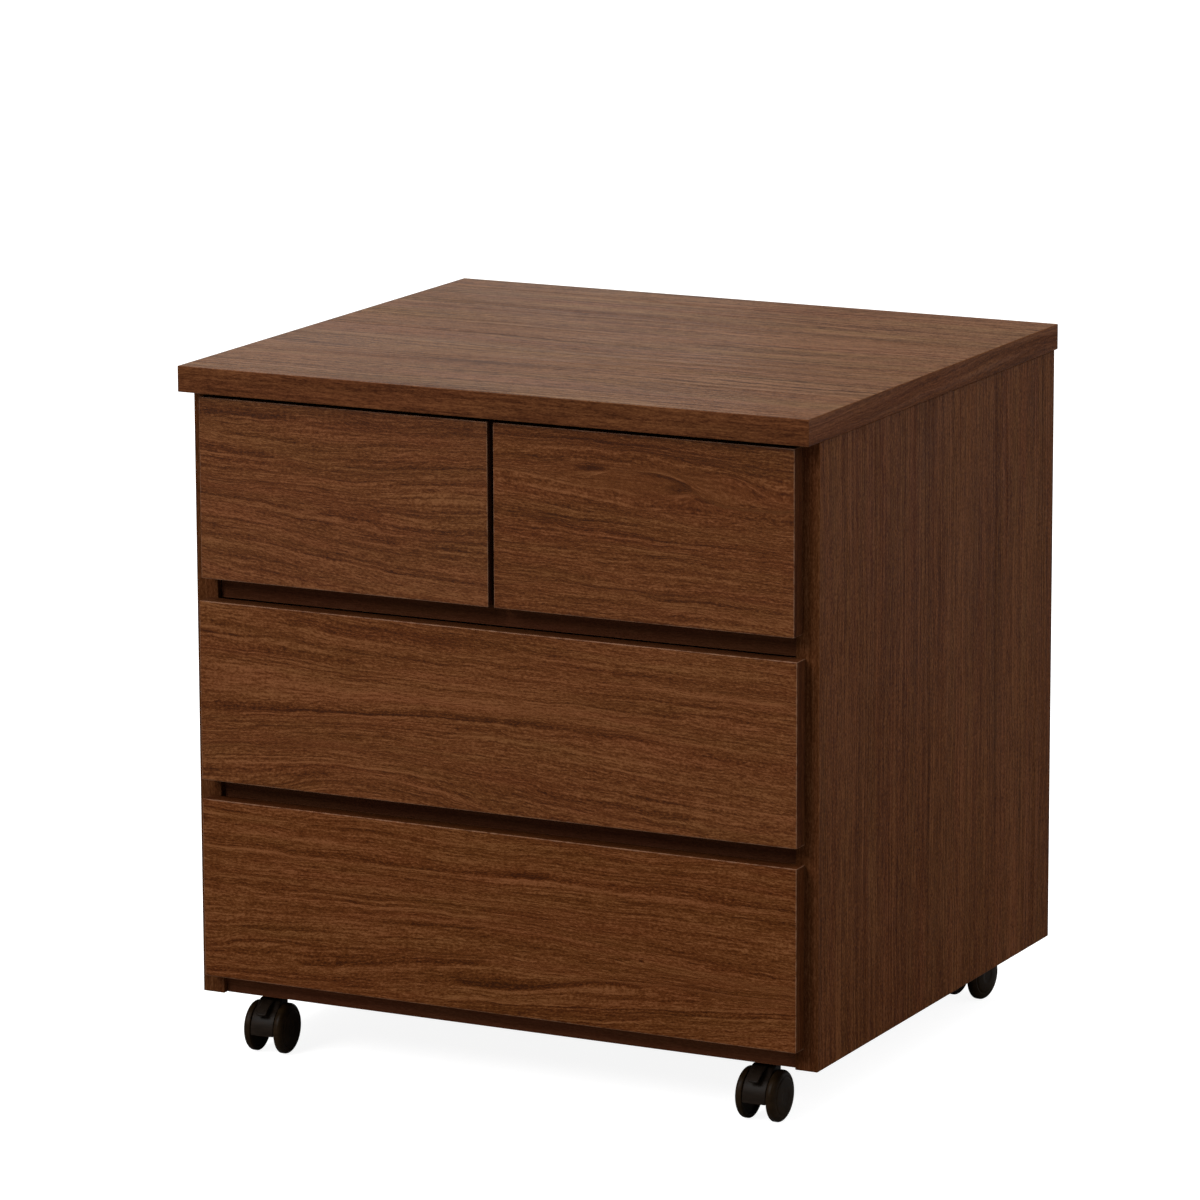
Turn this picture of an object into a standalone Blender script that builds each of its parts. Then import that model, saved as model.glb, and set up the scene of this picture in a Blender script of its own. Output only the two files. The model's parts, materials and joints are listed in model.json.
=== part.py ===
# Closet drawer chest on four twin-wheel casters.
# Metres, +Z up, the front faces -Y, the origin is on the floor under the middle of the top board.

import math

import bmesh
import bpy
from mathutils import Vector

# Clearances that pieces share
SEAT_GAP = 0.0003            # between two faces that touch
CUT_OVERRUN = 0.002          # how far a cutter passes the face it opens

# Top board
TOP_WIDTH = 0.600
TOP_DEPTH = 0.528
TOP_THICKNESS = 0.023
SIDE_OVERHANG = 0.0015       # top board past each side panel
FRONT_OVERHANG = 0.025       # top board past the carcass's front edges
BACK_OVERHANG = 0.004

# Carcass
SIDE_THICKNESS = 0.021
BOTTOM_THICKNESS = 0.021
RAIL_THICKNESS = 0.021
RAIL_DEPTH = 0.060
RAIL_SETBACK = 0.0065        # rails and bottom board behind the side panels' front edges
DIVIDER_THICKNESS = 0.018
BACK_THICKNESS = 0.004
BACK_INSET = 0.010           # back panel in front of the side panels' rear edges
BACK_GROOVE_DEPTH = 0.006
ARRIS_RADIUS = 0.0008        # rounding of the edge-banded boards

# Drawer fronts
FRONT_HEIGHT = 0.160
FRONT_THICKNESS = 0.017
FRONT_INSET = 0.012          # wide front inside the carcass's outer face, each side
SMALL_FRONT_INSET = 0.00275  # pair of small fronts inside a wide one, each side
CENTRE_SLOT = 0.0055         # between the two small fronts
TOP_SLOT = 0.004             # between the top board and the top fronts
UPPER_FINGER_GAP = 0.020
LOWER_FINGER_GAP = 0.017
BASE_REVEAL = 0.0195         # bottom board that shows under the lowest front

# Drawer boxes
BOX_BOARD = 0.012            # thickness of the box's sides and back
BOX_SIDE_CLEARANCE = 0.003   # box to the wall of its bay
BOX_BOTTOM_CLEARANCE = 0.0065
BOX_TOP_CLEARANCE = 0.0095
BOX_BACK_CLEARANCE = 0.030
BOX_BACK_DROP = 0.010        # box back below the top edge of the box sides
BOX_BOTTOM_THICKNESS = 0.004
BOX_BOTTOM_RISE = 0.007      # box bottom above the lower edge of the box sides
BOX_GROOVE_DEPTH = 0.005     # groove that holds the box bottom

# Runner strips, which ride in grooves of the box sides
RUNNER_HEIGHT = 0.014
RUNNER_RISE = 0.050          # runner groove above the lower edge of the box sides
RUNNER_GROOVE_DEPTH = 0.0065
RUNNER_SIDE_CLEARANCE = 0.0007
RUNNER_DROP_CLEARANCE = 0.0007
RUNNER_FRONT_SET = 0.008
RUNNER_BACK_SET = 0.006

# Casters
CASTER_SIDE_INSET = 0.058    # swivel axis inside the carcass's outer face
CASTER_FRONT_INSET = 0.0275  # swivel axis behind the carcass's front edges
CASTER_REAR_INSET = 0.0355   # swivel axis in front of the carcass's rear edges
CASTER_TRAIL = 0.0085        # wheel axle off the swivel axis
WHEEL_RADIUS = 0.0225
WHEEL_RIM_WALL = 0.0035
WHEEL_TREAD = 0.0035         # width of the flat tread
WHEEL_DOME = 0.0052          # how far the outer face bulges past the tread
WHEEL_DISH = 0.0030          # depth of the hollow in the wheel's inner side
HUB_CAP_WALL = 0.0018        # plastic over the end of the axle
WHEEL_EDGE = 0.0010          # chamfer on the inner edge of the tread
WHEEL_GAP = 0.0005           # wheel to the hood's side
HUB_RADIUS = 0.0060
AXLE_RADIUS = 0.0020
AXLE_END_GAP = 0.0006
HOOD_WIDTH = 0.022
HOOD_RADIUS = 0.0222
HOOD_WALL = 0.0020
HOOD_WEB = 0.0070
HOOD_BOSS_RADIUS = 0.0100
HUB_CLEARANCE = 0.0010       # wheel hubs to the boss above them
HOOD_LIP = 0.0012            # thickening along the skirt's lower edge
NECK_RADIUS = 0.0112
NECK_HEIGHT = 0.0032
NECK_RISE = 0.0062           # neck's top above the hood's crown
SADDLE_DROP = 0.0019         # level part of the saddle below the neck's top
SADDLE_FLAT = 0.0090         # level part's length, ahead of the swivel axis
SADDLE_CHAMFER = 0.0012
STOPPER_WIDTH = 0.010
STOPPER_THICKNESS = 0.0020
STOPPER_STEP = 0.0006        # stopper's upper face above the saddle at its root
STOPPER_BEND = 0.012         # root to the point that its upper face bends towards
STOPPER_STANDOFF = 0.0069    # tip off the hood's outer face
AXLE_BOSS_RADIUS = 0.0055
STEM_RADIUS = 0.0035
STEM_SOCKET_FLOOR = 0.0040   # plastic left under the stem's socket
STEM_COLLAR_RADIUS = 0.0085
STEM_COLLAR_HEIGHT = 0.0015
SHANK_RADIUS = 0.0040
SHANK_LENGTH = 0.014
STEM_CHAMFER = 0.0006

# Angles and counts
SKIRT_FRONT_ANGLE = math.radians(-9)     # skirt's lower edge, below the level of the axle
SKIRT_BACK_ANGLE = math.radians(12)      # hood's rear edge, above the level of the axle
HOOD_STEP_ANGLE = math.radians(9)
SADDLE_ANGLE = math.radians(55)          # where the saddle runs out, above the level of the axle
STOPPER_ANGLE = math.radians(34.5)       # stopper's tip, above the level of the axle
SADDLE_STEPS = 6
STOPPER_STEPS = 6
WHEEL_SEGMENTS = 24
ROUND_SEGMENTS = 20
DOME_STEPS = 5
CASTER_HEADINGS = {
    "front_left": math.radians(3),
    "front_right": math.radians(-1),
    "rear_left": math.radians(5),
    "rear_right": math.radians(-8),
}

# Places worked out from the sizes above
carcass_width = TOP_WIDTH - 2 * SIDE_OVERHANG
carcass_front_y = -TOP_DEPTH / 2 + FRONT_OVERHANG
carcass_back_y = TOP_DEPTH / 2 - BACK_OVERHANG
inner_half_width = carcass_width / 2 - SIDE_THICKNESS
board_front_y = carcass_front_y + RAIL_SETBACK
back_panel_back_y = carcass_back_y - BACK_INSET
back_panel_front_y = back_panel_back_y - BACK_THICKNESS
bay_back_y = back_panel_front_y - SEAT_GAP

hood_top_z = WHEEL_RADIUS + HOOD_RADIUS + NECK_RISE
collar_z = hood_top_z + SEAT_GAP
base_z = collar_z + STEM_COLLAR_HEIGHT + SEAT_GAP
lower_front_z = base_z + BASE_REVEAL
middle_front_z = lower_front_z + FRONT_HEIGHT + LOWER_FINGER_GAP
top_front_z = middle_front_z + FRONT_HEIGHT + UPPER_FINGER_GAP
side_top_z = top_front_z + FRONT_HEIGHT + TOP_SLOT - SEAT_GAP
top_board_z = side_top_z + SEAT_GAP
lower_rail_z = middle_front_z - (LOWER_FINGER_GAP + RAIL_THICKNESS) / 2
middle_rail_z = top_front_z - (UPPER_FINGER_GAP + RAIL_THICKNESS) / 2
top_rail_z = top_board_z - SEAT_GAP - RAIL_THICKNESS
divider_foot_z = middle_rail_z + RAIL_THICKNESS + SEAT_GAP

wide_front_width = carcass_width - 2 * FRONT_INSET
small_front_width = (wide_front_width - 2 * SMALL_FRONT_INSET - CENTRE_SLOT) / 2
small_bay_width = inner_half_width - DIVIDER_THICKNESS / 2
small_drawer_x = (small_front_width + CENTRE_SLOT) / 2
small_bay_x = (inner_half_width + DIVIDER_THICKNESS / 2) / 2
board_in_the_way_below = max(
    (RAIL_THICKNESS - UPPER_FINGER_GAP) / 2,
    (RAIL_THICKNESS - LOWER_FINGER_GAP) / 2,
    BOTTOM_THICKNESS - BASE_REVEAL,
)
rail_in_the_way_above = RAIL_THICKNESS + SEAT_GAP - TOP_SLOT
box_rise = board_in_the_way_below + BOX_BOTTOM_CLEARANCE
box_height = FRONT_HEIGHT - box_rise - rail_in_the_way_above - BOX_TOP_CLEARANCE
box_depth = bay_back_y - carcass_front_y - BOX_BACK_CLEARANCE
box_bottom_slot = BOX_BOTTOM_THICKNESS + 2 * SEAT_GAP
runner_slot = RUNNER_HEIGHT + SEAT_GAP + RUNNER_DROP_CLEARANCE
runner_reach = BOX_SIDE_CLEARANCE + RUNNER_GROOVE_DEPTH - RUNNER_SIDE_CLEARANCE

wheel_inner_x = HOOD_WIDTH / 2 + WHEEL_GAP
wheel_outer_x = wheel_inner_x + WHEEL_TREAD + WHEEL_DOME
hub_x = HOOD_WEB / 2 + WHEEL_GAP
axle_half_length = wheel_outer_x - HUB_CAP_WALL - AXLE_END_GAP
saddle_z = hood_top_z - SADDLE_DROP
boss_foot_z = WHEEL_RADIUS + HUB_RADIUS + HUB_CLEARANCE
socket_floor_z = boss_foot_z + STEM_SOCKET_FLOOR

# Colour, roughness and metallic value of each finish
FINISHES = {
    "walnut_board": ((0.115, 0.050, 0.024), 0.45, 0.0),
    "walnut_front": ((0.135, 0.058, 0.026), 0.42, 0.0),
    "box_board": ((0.60, 0.47, 0.33), 0.60, 0.0),
    "thin_panel": ((0.34, 0.22, 0.13), 0.65, 0.0),
    "runner_wood": ((0.52, 0.38, 0.23), 0.55, 0.0),
    "black_plastic": ((0.010, 0.010, 0.011), 0.38, 0.0),
    "plated_steel": ((0.56, 0.56, 0.55), 0.30, 1.0),
}


def clear_scene():
    for thing in list(bpy.data.objects):
        bpy.data.objects.remove(thing, do_unlink=True)


def make_material(name, finish):
    colour, roughness, metallic = FINISHES[finish]
    material = bpy.data.materials.new(name)
    material.use_nodes = True
    shader = material.node_tree.nodes["Principled BSDF"]
    shader.inputs["Base Color"].default_value = (*colour, 1.0)
    shader.inputs["Roughness"].default_value = roughness
    shader.inputs["Metallic"].default_value = metallic
    return material


def make_empty(name, place, parent=None, turn=0.0):
    empty = bpy.data.objects.new(name, None)
    empty.location = place
    empty.rotation_euler.z = turn
    empty.parent = parent
    bpy.context.collection.objects.link(empty)
    return empty


def make_object(name, shape, finish, parent, place=(0, 0, 0), smooth=False):
    mesh = bpy.data.meshes.new(name)
    bmesh.ops.recalc_face_normals(shape, faces=shape.faces)
    shape.to_mesh(mesh)
    shape.free()
    if smooth:
        mesh.shade_smooth()
        mesh.set_sharp_from_angle(angle=math.radians(35))
    thing = bpy.data.objects.new(name, mesh)
    thing.parent = parent
    thing.location = place
    if finish:
        mesh.materials.append(make_material(name, finish))
    bpy.context.collection.objects.link(thing)
    return thing


def add_boolean(body, tool, operation):
    tool.hide_render = True
    tool.display_type = "WIRE"
    step = body.modifiers.new(tool.name, "BOOLEAN")
    step.operation = operation
    step.solver = "EXACT"
    step.object = tool


def cut_away(body, tool):
    add_boolean(body, tool, "DIFFERENCE")


def join_on(body, tool):
    add_boolean(body, tool, "UNION")


# Shapes

def block(low, high):
    shape = bmesh.new()
    bmesh.ops.create_cube(shape, size=1)
    for vertex in shape.verts:
        share = vertex.co + Vector((0.5, 0.5, 0.5))
        vertex.co = [low[i] + (high[i] - low[i]) * share[i] for i in range(3)]
    return shape


def prism(outline, axis, start, length):
    # The outline's two coordinates are the other two axes, in X, Y, Z order.
    shape = bmesh.new()
    ring = []
    for first, second in outline:
        point = [first, second]
        point.insert(axis, start)
        ring.append(shape.verts.new(point))
    cap = shape.faces.new(ring)
    swept = bmesh.ops.extrude_face_region(shape, geom=[cap])
    moved = [part for part in swept["geom"] if isinstance(part, bmesh.types.BMVert)]
    step = [0.0, 0.0, 0.0]
    step[axis] = length
    bmesh.ops.translate(shape, verts=moved, vec=step)
    return shape


def turned(profile, segments, axis, first_angle=0.0):
    # The profile lists (place along the axis, radius) and starts and ends on the axis.
    shape = bmesh.new()
    rings = []
    for along, radius in profile:
        ring = []
        for index in range(segments if radius > 0 else 1):
            angle = first_angle + 2 * math.pi * index / segments
            point = [radius * math.cos(angle), radius * math.sin(angle)]
            point.insert(axis, along)
            ring.append(shape.verts.new(point))
        rings.append(ring)
    for ring, after in zip(rings, rings[1:]):
        for index in range(segments):
            corners = [
                ring[index % len(ring)],
                ring[(index + 1) % len(ring)],
                after[(index + 1) % len(after)],
                after[index % len(after)],
            ]
            shape.faces.new(list(dict.fromkeys(corners)))
    return shape


def lofted(sections):
    # Skins outlines of equally many points, one after another, and caps both ends.
    shape = bmesh.new()
    rings = [[shape.verts.new(point) for point in section] for section in sections]
    for ring, after in zip(rings, rings[1:]):
        for index in range(len(ring)):
            other = (index + 1) % len(ring)
            shape.faces.new([ring[index], ring[other], after[other], after[index]])
    shape.faces.new(rings[0])
    shape.faces.new(rings[-1])
    return shape


def cylinder(radius, start, end, segments, axis):
    return turned([(start, 0), (start, radius), (end, radius), (end, 0)], segments, axis)


def soften(shape, width):
    # Rounds the edges that lie along the edges of the shape's bounding box.
    low = [min(v.co[i] for v in shape.verts) for i in range(3)]
    high = [max(v.co[i] for v in shape.verts) for i in range(3)]
    tolerance = width / 100
    chosen = []
    for edge in shape.edges:
        sides = 0
        for i in range(3):
            places = [v.co[i] for v in edge.verts]
            at_low = max(places) < low[i] + tolerance
            at_high = min(places) > high[i] - tolerance
            sides += at_low or at_high
        if sides == 2:
            chosen.append(edge)
    bmesh.ops.bevel(shape, geom=chosen, offset=width, segments=2, profile=0.5, affect="EDGES")
    return shape


# Carcass

def add_top_board(chest):
    low = (-TOP_WIDTH / 2, -TOP_DEPTH / 2, top_board_z)
    high = (TOP_WIDTH / 2, TOP_DEPTH / 2, top_board_z + TOP_THICKNESS)
    board = make_object("top_board", soften(block(low, high), ARRIS_RADIUS), "walnut_board", chest)
    reach = inner_half_width + BACK_GROOVE_DEPTH
    groove_low = (-reach, back_panel_front_y - SEAT_GAP, top_board_z - CUT_OVERRUN)
    groove_high = (reach, back_panel_back_y + SEAT_GAP, top_board_z + BACK_GROOVE_DEPTH)
    cut_away(board, make_object("top_board_groove", block(groove_low, groove_high), None, chest))


def add_side_panel(name, side, chest):
    outer = side * carcass_width / 2
    inner = side * inner_half_width
    groove = side * (inner_half_width + BACK_GROOVE_DEPTH)
    groove_front = back_panel_front_y - SEAT_GAP
    groove_back = back_panel_back_y + SEAT_GAP
    outline = [
        (outer, carcass_front_y),
        (inner, carcass_front_y),
        (inner, groove_front),
        (groove, groove_front),
        (groove, groove_back),
        (inner, groove_back),
        (inner, carcass_back_y),
        (outer, carcass_back_y),
    ]
    shape = soften(prism(outline, 2, base_z, side_top_z - base_z), ARRIS_RADIUS)
    make_object(name, shape, "walnut_board", chest)


def add_bottom_board(chest):
    half_width = inner_half_width - SEAT_GAP
    top = base_z + BOTTOM_THICKNESS
    groove_floor = top - BACK_GROOVE_DEPTH
    groove_front = back_panel_front_y - SEAT_GAP
    groove_back = back_panel_back_y + SEAT_GAP
    outline = [
        (board_front_y, base_z),
        (carcass_back_y, base_z),
        (carcass_back_y, top),
        (groove_back, top),
        (groove_back, groove_floor),
        (groove_front, groove_floor),
        (groove_front, top),
        (board_front_y, top),
    ]
    board = make_object(
        "bottom_board", prism(outline, 0, -half_width, 2 * half_width), "walnut_board", chest)
    hole_top = base_z + SHANK_LENGTH + SEAT_GAP
    for place, (x, y) in caster_places().items():
        hole = cylinder(SHANK_RADIUS + SEAT_GAP, base_z - CUT_OVERRUN, hole_top, ROUND_SEGMENTS, 2)
        cut_away(board, make_object("stem_hole_" + place, hole, None, chest, (x, y, 0)))


def add_back_panel(chest):
    half_width = inner_half_width + BACK_GROOVE_DEPTH - SEAT_GAP
    foot = base_z + BOTTOM_THICKNESS - BACK_GROOVE_DEPTH + SEAT_GAP
    head = top_board_z + BACK_GROOVE_DEPTH - SEAT_GAP
    shape = block((-half_width, back_panel_front_y, foot), (half_width, back_panel_back_y, head))
    make_object("back_panel", shape, "thin_panel", chest)


def add_rail(name, y, z, chest):
    half_width = inner_half_width - SEAT_GAP
    shape = block((-half_width, y, z), (half_width, y + RAIL_DEPTH, z + RAIL_THICKNESS))
    make_object(name, shape, "walnut_board", chest)


def add_rails(chest):
    rear_y = bay_back_y - RAIL_DEPTH
    add_rail("top_rail_front", board_front_y, top_rail_z, chest)
    add_rail("top_rail_rear", rear_y, top_rail_z, chest)
    add_rail("middle_rail_front", board_front_y, middle_rail_z, chest)
    add_rail("middle_rail_rear", rear_y, middle_rail_z, chest)
    add_rail("lower_rail_front", board_front_y, lower_rail_z, chest)


def add_divider(chest):
    # The upper corners are notched round the two rails under the top board.
    head = top_board_z - SEAT_GAP
    notch = top_rail_z - SEAT_GAP
    front_shoulder = board_front_y + RAIL_DEPTH + SEAT_GAP
    back_shoulder = bay_back_y - RAIL_DEPTH - SEAT_GAP
    outline = [
        (board_front_y, divider_foot_z),
        (bay_back_y, divider_foot_z),
        (bay_back_y, notch),
        (back_shoulder, notch),
        (back_shoulder, head),
        (front_shoulder, head),
        (front_shoulder, notch),
        (board_front_y, notch),
    ]
    shape = prism(outline, 0, -DIVIDER_THICKNESS / 2, DIVIDER_THICKNESS)
    make_object("centre_divider", shape, "walnut_board", chest)


# Drawers and their runners

def add_runner(name, wall_x, direction, front_z, chest):
    # direction is +1 where the bay lies on the wall's +X side
    top = front_z + box_rise + RUNNER_RISE + runner_slot - SEAT_GAP
    near = wall_x + direction * SEAT_GAP
    far = wall_x + direction * runner_reach
    low = (min(near, far), carcass_front_y + RUNNER_FRONT_SET, top - RUNNER_HEIGHT)
    high = (max(near, far), bay_back_y - RUNNER_BACK_SET, top)
    make_object(name, block(low, high), "runner_wood", chest)


def add_drawer_front(name, width, box_width, offset_x, drawer):
    low = (-width / 2, -FRONT_THICKNESS, 0)
    high = (width / 2, 0, FRONT_HEIGHT)
    front = make_object(name, soften(block(low, high), ARRIS_RADIUS), "walnut_front", drawer)
    reach = box_width / 2 - BOX_BOARD + BOX_GROOVE_DEPTH
    slot_z = box_rise + BOX_BOTTOM_RISE
    groove_low = (offset_x - reach, -BOX_GROOVE_DEPTH, slot_z)
    groove_high = (offset_x + reach, CUT_OVERRUN, slot_z + box_bottom_slot)
    cut_away(front, make_object(name + "_groove", block(groove_low, groove_high), None, drawer))


def add_box_side(name, side, box_width, offset_x, drawer):
    # One groove outside rides on the runner, one inside holds the box bottom.
    outer = offset_x + side * box_width / 2
    inner = outer - side * BOX_BOARD
    runner_groove = outer - side * RUNNER_GROOVE_DEPTH
    bottom_groove = inner + side * BOX_GROOVE_DEPTH
    foot = box_rise
    head = foot + box_height
    runner_low = foot + RUNNER_RISE
    runner_high = runner_low + runner_slot
    slot_low = foot + BOX_BOTTOM_RISE
    slot_high = slot_low + box_bottom_slot
    outline = [
        (outer, foot),
        (inner, foot),
        (inner, slot_low),
        (bottom_groove, slot_low),
        (bottom_groove, slot_high),
        (inner, slot_high),
        (inner, head),
        (outer, head),
        (outer, runner_high),
        (runner_groove, runner_high),
        (runner_groove, runner_low),
        (outer, runner_low),
    ]
    make_object(name, prism(outline, 1, SEAT_GAP, box_depth), "box_board", drawer)


def add_box_back(name, box_width, offset_x, drawer):
    half_width = box_width / 2 - BOX_BOARD - SEAT_GAP
    back_y = SEAT_GAP + box_depth
    foot = box_rise + BOX_BOTTOM_RISE + box_bottom_slot
    head = box_rise + box_height - BOX_BACK_DROP
    shape = block(
        (offset_x - half_width, back_y - BOX_BOARD, foot), (offset_x + half_width, back_y, head))
    make_object(name, shape, "box_board", drawer)


def add_box_bottom(name, box_width, offset_x, drawer):
    half_width = box_width / 2 - BOX_BOARD + BOX_GROOVE_DEPTH - SEAT_GAP
    foot = box_rise + BOX_BOTTOM_RISE + SEAT_GAP
    low = (offset_x - half_width, -BOX_GROOVE_DEPTH + SEAT_GAP, foot)
    high = (offset_x + half_width, SEAT_GAP + box_depth, foot + BOX_BOTTOM_THICKNESS)
    make_object(name, block(low, high), "thin_panel", drawer)


def add_drawer(name, front_x, bay_x, front_z, front_width, bay_width, chest):
    # The empty stands at the back face of the front, so that its parts share one frame.
    drawer = make_empty(name, (front_x, carcass_front_y - SEAT_GAP, front_z), chest)
    box_width = bay_width - 2 * BOX_SIDE_CLEARANCE
    offset_x = bay_x - front_x
    add_drawer_front(name + "_front", front_width, box_width, offset_x, drawer)
    add_box_side(name + "_side_left", -1, box_width, offset_x, drawer)
    add_box_side(name + "_side_right", 1, box_width, offset_x, drawer)
    add_box_back(name + "_back", box_width, offset_x, drawer)
    add_box_bottom(name + "_bottom", box_width, offset_x, drawer)


def add_small_drawers(chest):
    for name, side in (("top_left", -1), ("top_right", 1)):
        add_drawer(
            "drawer_" + name, side * small_drawer_x, side * small_bay_x, top_front_z,
            small_front_width, small_bay_width, chest)
        add_runner("runner_" + name + "_outer", side * inner_half_width, -side, top_front_z, chest)
        add_runner(
            "runner_" + name + "_inner", side * DIVIDER_THICKNESS / 2, side, top_front_z, chest)


def add_wide_drawers(chest):
    for name, front_z in (("middle", middle_front_z), ("lower", lower_front_z)):
        add_drawer(
            "drawer_" + name, 0, 0, front_z, wide_front_width, 2 * inner_half_width, chest)
        for end, side in (("left", -1), ("right", 1)):
            add_runner(f"runner_{name}_{end}", side * inner_half_width, -side, front_z, chest)


# Casters

def caster_places():
    x = carcass_width / 2 - CASTER_SIDE_INSET
    front_y = carcass_front_y + CASTER_FRONT_INSET
    rear_y = carcass_back_y - CASTER_REAR_INSET
    return {
        "front_left": (-x, front_y),
        "front_right": (x, front_y),
        "rear_left": (-x, rear_y),
        "rear_right": (x, rear_y),
    }


def wheel_profile():
    # From the bottom of the axle's bore out round the dished inner side, over the tread
    # and down the domed outer face to its middle.
    bore = AXLE_RADIUS + SEAT_GAP
    bore_end = wheel_outer_x - HUB_CAP_WALL
    dish = wheel_inner_x + WHEEL_DISH
    rim = WHEEL_RADIUS - WHEEL_RIM_WALL
    crown = wheel_inner_x + WHEEL_TREAD
    profile = [
        (bore_end, 0),
        (bore_end, bore),
        (hub_x, bore),
        (hub_x, HUB_RADIUS),
        (dish, HUB_RADIUS),
        (dish, rim),
        (wheel_inner_x, rim),
        (wheel_inner_x, WHEEL_RADIUS - WHEEL_EDGE),
        (wheel_inner_x + WHEEL_EDGE, WHEEL_RADIUS),
    ]
    for step in range(DOME_STEPS):
        angle = math.pi / 2 * step / DOME_STEPS
        profile.append((crown + WHEEL_DOME * math.sin(angle), WHEEL_RADIUS * math.cos(angle) ** 0.5))
    profile.append((wheel_outer_x, 0))
    return profile


def add_wheel(name, side, swivel):
    # A flat of the faceted tread lies on the floor, so its corners stand out a little.
    flat_share = 1 / math.cos(math.pi / WHEEL_SEGMENTS)
    profile = [(side * along, radius * flat_share) for along, radius in wheel_profile()]
    turn = math.pi / 2 + math.pi / WHEEL_SEGMENTS
    shape = turned(profile, WHEEL_SEGMENTS, 0, turn)
    place = (0, -CASTER_TRAIL, WHEEL_RADIUS)
    make_object(name, shape, "black_plastic", swivel, place, smooth=True)


def add_axle(name, swivel):
    ends = axle_half_length
    flats = [(-ends, 0), (-ends, AXLE_RADIUS), (ends, AXLE_RADIUS), (ends, 0)]
    place = (0, -CASTER_TRAIL, WHEEL_RADIUS)
    make_object(name, turned(flats, ROUND_SEGMENTS, 0), "plated_steel", swivel, place, smooth=True)


def arc_points(radius, first, last):
    # Points round the axle, in Y and Z; zero is straight ahead, a quarter turn is up.
    steps = max(2, round(abs(last - first) / HOOD_STEP_ANGLE))
    points = []
    for index in range(steps + 1):
        angle = first + (last - first) * index / steps
        points.append((
            -CASTER_TRAIL - radius * math.cos(angle), WHEEL_RADIUS + radius * math.sin(angle)))
    return points


def saddle_sections():
    # The saddle lies on the hood's crown: level under the neck, then falling in a curve that
    # leaves the level part smoothly and meets the hood along the hood's own slope.
    end_radius = HOOD_RADIUS - HOOD_WALL / 4
    seat_radius = HOOD_RADIUS - HOOD_WALL / 2
    end_y = -CASTER_TRAIL - end_radius * math.cos(SADDLE_ANGLE)
    end_z = WHEEL_RADIUS + end_radius * math.sin(SADDLE_ANGLE)
    length = -SADDLE_FLAT - end_y
    places = [(0, saddle_z)]
    for step in range(SADDLE_STEPS + 1):
        share = step / SADDLE_STEPS
        fall = share ** 2 * (3 - 2 * share)
        lift = length / math.tan(SADDLE_ANGLE) * share ** 2 * (1 - share)
        places.append((
            -SADDLE_FLAT - length * share, saddle_z + (end_z - saddle_z) * fall + lift))
    half = HOOD_WIDTH / 2
    sections = []
    for y, top in places:
        seat = WHEEL_RADIUS + math.sqrt(seat_radius ** 2 - (y + CASTER_TRAIL) ** 2)
        chamfer = min(SADDLE_CHAMFER, (top - seat) / 2)
        sections.append([
            (-half, y, seat),
            (-half, y, top - chamfer),
            (chamfer - half, y, top),
            (half - chamfer, y, top),
            (half, y, top - chamfer),
            (half, y, seat),
        ])
    return sections


def stopper_outline():
    # The upper face is a curve through the root and the tip, drawn towards a bend between
    # them, and the lower face runs a thickness under it; the tip is rounded.
    root = Vector((-SADDLE_FLAT, saddle_z + STOPPER_STEP))
    bend = Vector((-SADDLE_FLAT - STOPPER_BEND, saddle_z + STOPPER_STEP))
    tip_radius = HOOD_RADIUS + STOPPER_STANDOFF
    tip = Vector((
        -CASTER_TRAIL - tip_radius * math.cos(STOPPER_ANGLE),
        WHEEL_RADIUS + tip_radius * math.sin(STOPPER_ANGLE)))
    upper = []
    lower = []
    for step in range(STOPPER_STEPS + 1):
        share = step / STOPPER_STEPS
        point = root * (1 - share) ** 2 + bend * 2 * share * (1 - share) + tip * share ** 2
        along = ((bend - root) * (1 - share) + (tip - bend) * share).normalized()
        upper.append(point)
        lower.append(point + Vector((-along.y, along.x)) * STOPPER_THICKNESS)
    nose = (upper[-1] + lower[-1]) / 2 + along * STOPPER_THICKNESS / 2
    return [tuple(point) for point in [*upper, nose, *reversed(lower)]]


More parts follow.
